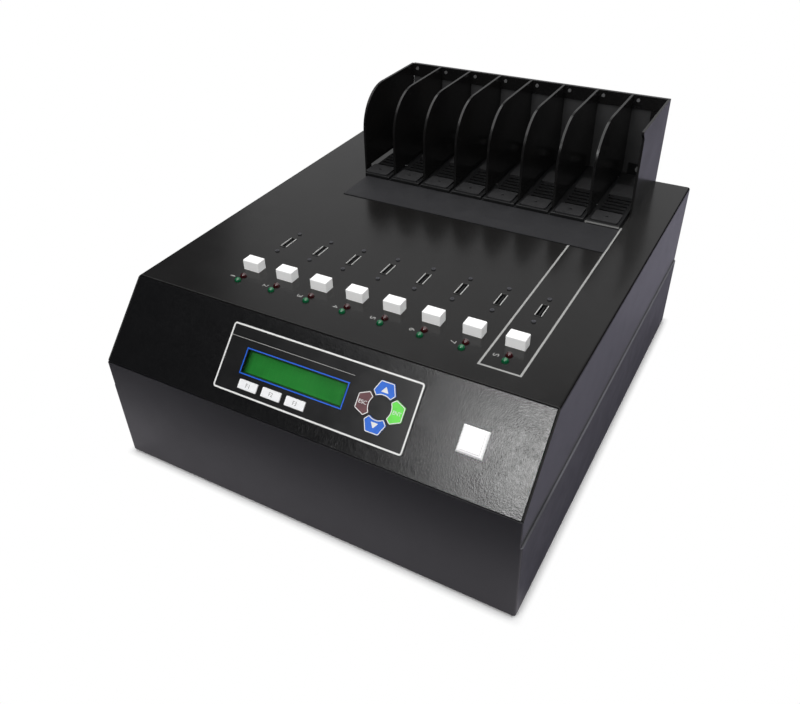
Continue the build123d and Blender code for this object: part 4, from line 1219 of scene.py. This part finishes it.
@dataclass
class ControlPanel(SubAssembly):
    """The sloping plate and its membrane panel, with its printing and its keys.

    A point on the slope is its x and how far up it lies from the foot. A point of a ring key is how
    far out from the ring's middle it lies, and how far aside.
    """

    FINISHES = {
        Finishes.PLATE: ("control_plate",),
        Finishes.PANEL: ("control_overlay",),
        Finishes.KEY_WHITE: ("key_f1", "key_f2", "key_f3"),
        Finishes.KEY_BLUE: ("key_up", "key_down"),
        Finishes.KEY_MAROON: ("key_esc",),
        Finishes.KEY_GREEN: ("key_enter",),
        Finishes.BOARD: ("keypad_board",),
        Finishes.BLACKENED: ("keypad_switches",),
    }

    centre: Point = (6.5, 36.0)
    size: Point = (154.0, 49.4)
    corner: float = 2.5
    film: float = 0.8
    rim_inset: float = 0.35
    rim_width: float = 1.2
    rule_ends: Point = (-69.5, 34.0)
    rule_up: float = 50.9
    rule_width: float = 0.4
    ring: Point = (58.5, 36.3)
    ring_outer: Point = (17.5, 5.0)
    ring_side: Point = (9.9, 8.4)
    ring_inner: Point = (6.4, 5.3)
    ring_arc: float = 8.2
    arc_steps: int = 5
    ring_corner: float = 1.0
    outline_inset: float = 0.1
    outline_width: float = 0.6
    key_top: float = 1.4
    arrow: Point = (5.6, 4.0)
    arrow_out: float = 12.2
    arrow_corner: float = 0.7
    legend_out: float = 12.8
    legend_size: Point = (6.0, 2.5)
    f_first_x: float = -42.0
    f_pitch: float = 20.0
    f_up: float = 19.75
    f_legend: Point = (3.2, 3.0)

    def key_outline(self, angle: float) -> list[Point]:
        """The outline of a ring key.

        Args:
            angle: Where the key lies round the ring, in degrees.

        Returns:
            Its points on the slope.
        """
        c, s = cos(radians(angle)), sin(radians(angle))
        corners = [self.ring_inner, self.ring_side, self.ring_outer]
        corners += [(out, -half) for out, half in reversed(corners)]
        half_corner = (ROUNDING_STEPS + 1) // 2
        shape = rounded(corners, self.ring_corner)[half_corner:-half_corner] + self.back_arc()
        return [(self.ring[0] + x * c - y * s, self.ring[1] + x * s + y * c) for x, y in shape]

    def back_arc(self) -> list[Point]:
        """The hollow inner side of a ring key that points along +X, from its low end to its high end.

        Returns:
            Its points between the two ends.
        """
        out, half = self.ring_inner
        sag = self.ring_arc - out
        radius = (half**2 + sag**2) / (2 * sag)
        middle = self.ring_arc - radius
        reach = atan2(half, out - middle)
        turns = [reach * (k / self.arc_steps - 1) for k in range(1, 2 * self.arc_steps)]
        return [(middle + radius * cos(a), radius * sin(a)) for a in turns]

    def build(self) -> list[str]:
        """Prints the panel, the key outlines and the key legends.

        Returns:
            The pieces' names, for the report.
        """
        made = [self.print_panel(), self.print_rule()]
        for quarter, key in enumerate(("key_enter", "key_up", "key_esc", "key_down")):
            made.append(self.print_outline(key, 90.0 * quarter))
        for key, points_up in (("key_up", True), ("key_down", False)):
            made.append(self.print_arrow(key, points_up))
        for key, text, side in (("key_esc", "ESC", -1), ("key_enter", "ENT", 1)):
            legend = Printing(Slope.SEAT, self.key_top)
            legend.words(text, (self.ring[0] + side * self.legend_out, self.ring[1]), self.legend_size)
            made.append(legend.piece(f"{key}_legend", Finishes.PRINT_WHITE, key))
        for number, key in enumerate(self.FINISHES[Finishes.KEY_WHITE]):
            legend = Printing(Slope.SEAT, self.key_top)
            place = (self.f_first_x + number * self.f_pitch, self.f_up)
            legend.words(f"F{number + 1}", place, self.f_legend)
            made.append(legend.piece(f"{key}_legend", Finishes.PRINT_GREY, key))
        return made

    def print_panel(self) -> str:
        """The white line round the panel's edge.

        Returns:
            The piece's name.
        """
        size = (self.size[0] - 2 * self.rim_inset, self.size[1] - 2 * self.rim_inset)
        outer = rounded(rectangle(self.centre, *size), self.corner)
        ink = Printing(Slope.SEAT, self.film)
        ink.band(outer, grown(outer, -self.rim_width))
        return ink.piece("panel_rim_print", Finishes.PRINT_WHITE)

    def print_rule(self) -> str:
        """The thin line under the panel's head.

        Returns:
            The piece's name.
        """
        ink = Printing(Slope.SEAT, self.film)
        ink.line((self.rule_ends[0], self.rule_up), (self.rule_ends[1], self.rule_up), self.rule_width)
        return ink.piece("panel_rule_print", Finishes.PRINT_GREY)

    def print_outline(self, key: str, angle: float) -> str:
        """The pale outline along a ring key's edge.

        Args:
            key: The key's node and body.
            angle: Where the key lies round the ring, in degrees.

        Returns:
            The piece's name.
        """
        shape = self.key_outline(angle)
        ink = Printing(Slope.SEAT, self.key_top)
        ink.band(grown(shape, -self.outline_inset), grown(shape, -self.outline_inset - self.outline_width))
        return ink.piece(f"{key}_outline", Finishes.PRINT_WHITE, key)

    def print_arrow(self, key: str, points_up: bool) -> str:
        """A triangle on an arrow key.

        Args:
            key: The key's node and body.
            points_up: Whether the triangle points up the slope.

        Returns:
            The piece's name.
        """
        side = 1 if points_up else -1
        width, height = self.arrow
        x, up = self.ring[0], self.ring[1] + side * self.arrow_out
        corners = [(x - width / 2, up - side * height / 2), (x + width / 2, up - side * height / 2)]
        corners.append((x, up + side * height / 2))
        ink = Printing(Slope.SEAT, self.key_top)
        ink.area(rounded(corners, self.arrow_corner))
        return ink.piece(f"{key}_arrow", Finishes.PRINT_WHITE, key)


class Display(SubAssembly):
    """The two-line display and its window."""

    FINISHES = {
        Finishes.RIM_BLUE: ("lcd_bezel",),
        Finishes.CLEAR: ("lcd_window",),
        Finishes.SCREEN: ("lcd_screen",),
        Finishes.BLACKENED: ("lcd_frame",),
        Finishes.BOARD: ("lcd_board",),
    }


class PowerButton(SubAssembly):
    """The white push button at the right of the slope."""

    FINISHES = {Finishes.CAP_WHITE: ("power_button_housing", "power_button")}


@dataclass
class BayRow(SubAssembly):
    """The row of select buttons, lamps and ports across the cover, and its printing."""

    FINISHES = {
        Finishes.CAP_WHITE: tuple(f"select_button_{i + 1}" for i in range(BAYS)),
        Finishes.LAMP_GREEN: ("green_leds",),
        Finishes.LAMP_RED: ("red_leds",),
        Finishes.PORT: ("port_shells",),
        Finishes.PORT_BLACK: ("port_inserts",),
        Finishes.DARK_SCREW: ("port_screws",),
        Finishes.BOARD: ("button_board",),
        Finishes.DARK_PARTS: ("select_switches",),
    }

    numerals: str = "1234567S"
    first_numeral: Point = (-103.0, -114.3)
    pitch: float = 31.0
    numeral_turn: float = -90.0
    numeral_size: Point = (3.0, 4.2)
    narrow: Mapping[str, float] = field(default_factory=lambda: {"1": 0.4})
    cover_top: float = 145.0
    source_left: float = 107.6
    source_right: float = 136.6
    source_front: float = -128.6
    source_rear: float = 90.6
    source_line: float = 1.5
    mat_front: float = 44.3
    mat_gap: float = 0.1
    tray_front: float = 86.2
    tray_line: Point = (145.6, 147.6)
    tray_end: float = 135.5

    def build(self) -> list[str]:
        """Prints the numbers and the line round the source bay.

        Returns:
            The pieces' names, for the report.
        """
        seat = Seat((0.0, 0.0, self.cover_top), RIGHT, BACK)
        numbers = Printing(seat, 0.0)
        for column, text in enumerate(self.numerals):
            place = (self.first_numeral[0] + column * self.pitch, self.first_numeral[1])
            size = (self.numeral_size[0] * self.narrow.get(text, 1.0), self.numeral_size[1])
            numbers.words(text, place, size, self.numeral_turn)
        made = [numbers.piece("bay_number_print", Finishes.PRINT_GREY)]
        return made + [self.print_source(seat), self.print_tray_line()]

    def print_source(self, seat: Seat) -> str:
        """The line round the source bay, which the mat covers at its left.

        Args:
            seat: The cover's top.

        Returns:
            The piece's name.
        """
        left, right, front = self.source_left, self.source_right, self.source_front
        half = self.source_line / 2
        ink = Printing(seat, 0.0)
        ink.line((left, front), (left, self.mat_front - self.mat_gap), self.source_line)
        ink.line((left + half, front + half), (right - half, front + half), self.source_line)
        ink.line((right, front), (right, self.source_rear), self.source_line)
        return ink.piece("source_bay_print", Finishes.PRINT_GREY)

    def print_tray_line(self) -> str:
        """The far side of that outline, along the front of the rack's tray.

        Returns:
            The piece's name.
        """
        seat = Seat((0.0, self.tray_front, 0.0), RIGHT, UP)
        low, high = self.tray_line
        half = self.source_line / 2
        ink = Printing(seat, 0.0)
        ink.line((self.source_left - half, high - half), (self.tray_end, high - half), self.source_line)
        ink.line((self.source_left, low), (self.source_left, high - self.source_line), self.source_line)
        return ink.piece("source_tray_print", Finishes.PRINT_GREY)


class Rack(SubAssembly):
    """The open rack of eight bays, its tray and pads, and the mat before it."""

    FINISHES = {
        Finishes.RACK_WALL_PAINTED_LIGHT: ("rack_back",),
        Finishes.RACK: ("left_end_panel", "right_end_panel", *(f"divider_{i}" for i in range(1, BAYS))),
        Finishes.TRAY: ("rack_tray",),
        Finishes.PAD: ("bay_pads",),
        Finishes.MAT: ("front_mat",),
    }


class RearWall(SubAssembly):
    """The fan, its guard, and the mains inlet with its switch."""

    FINISHES = {
        Finishes.BLACK_PLASTIC: ("fan_frame", "fan_rotor", "ac_inlet", "rocker_switch"),
        Finishes.CHROME: ("fan_guard",),
    }


class Inside(SubAssembly):
    """The boards and the power supply inside the case."""

    FINISHES = {
        Finishes.BOARD: ("main_board",),
        Finishes.BRASS: ("board_standoffs",),
        Finishes.DARK_PARTS: ("board_parts",),
        Finishes.SINK: ("heat_sink",),
        Finishes.SUPPLY: ("power_supply",),
    }


def report(title: str, names: Iterable[str]) -> None:
    """Logs each piece that the class with this title has made or dressed."""
    for name in names:
        log.info("%s: %s", title, name)


def corners(box: tuple[Vector, Vector]) -> list[list[float]]:
    """A box's two corners as plain lists."""
    return [[float(v) for v in corner] for corner in box]


def main() -> None:
    """Builds the scene in order: frame, camera, studio, then each sub-assembly."""
    logging.basicConfig(level=logging.INFO, format="%(name)s %(message)s")
    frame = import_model()
    bpy.context.scene.view_settings.view_transform = "Standard"
    report("Camera", Camera().build())
    report("Studio", Studio().build())
    panel, bays = ControlPanel(), BayRow()
    for part in (Case(), panel, Display(), PowerButton(), bays, Rack(), RearWall(), Inside()):
        report(type(part).__name__, part.dress(frame))
    for part in (panel, bays):
        report(type(part).__name__, part.build())
    bpy.context.view_layer.update()


if __name__ == "__main__":
    main()
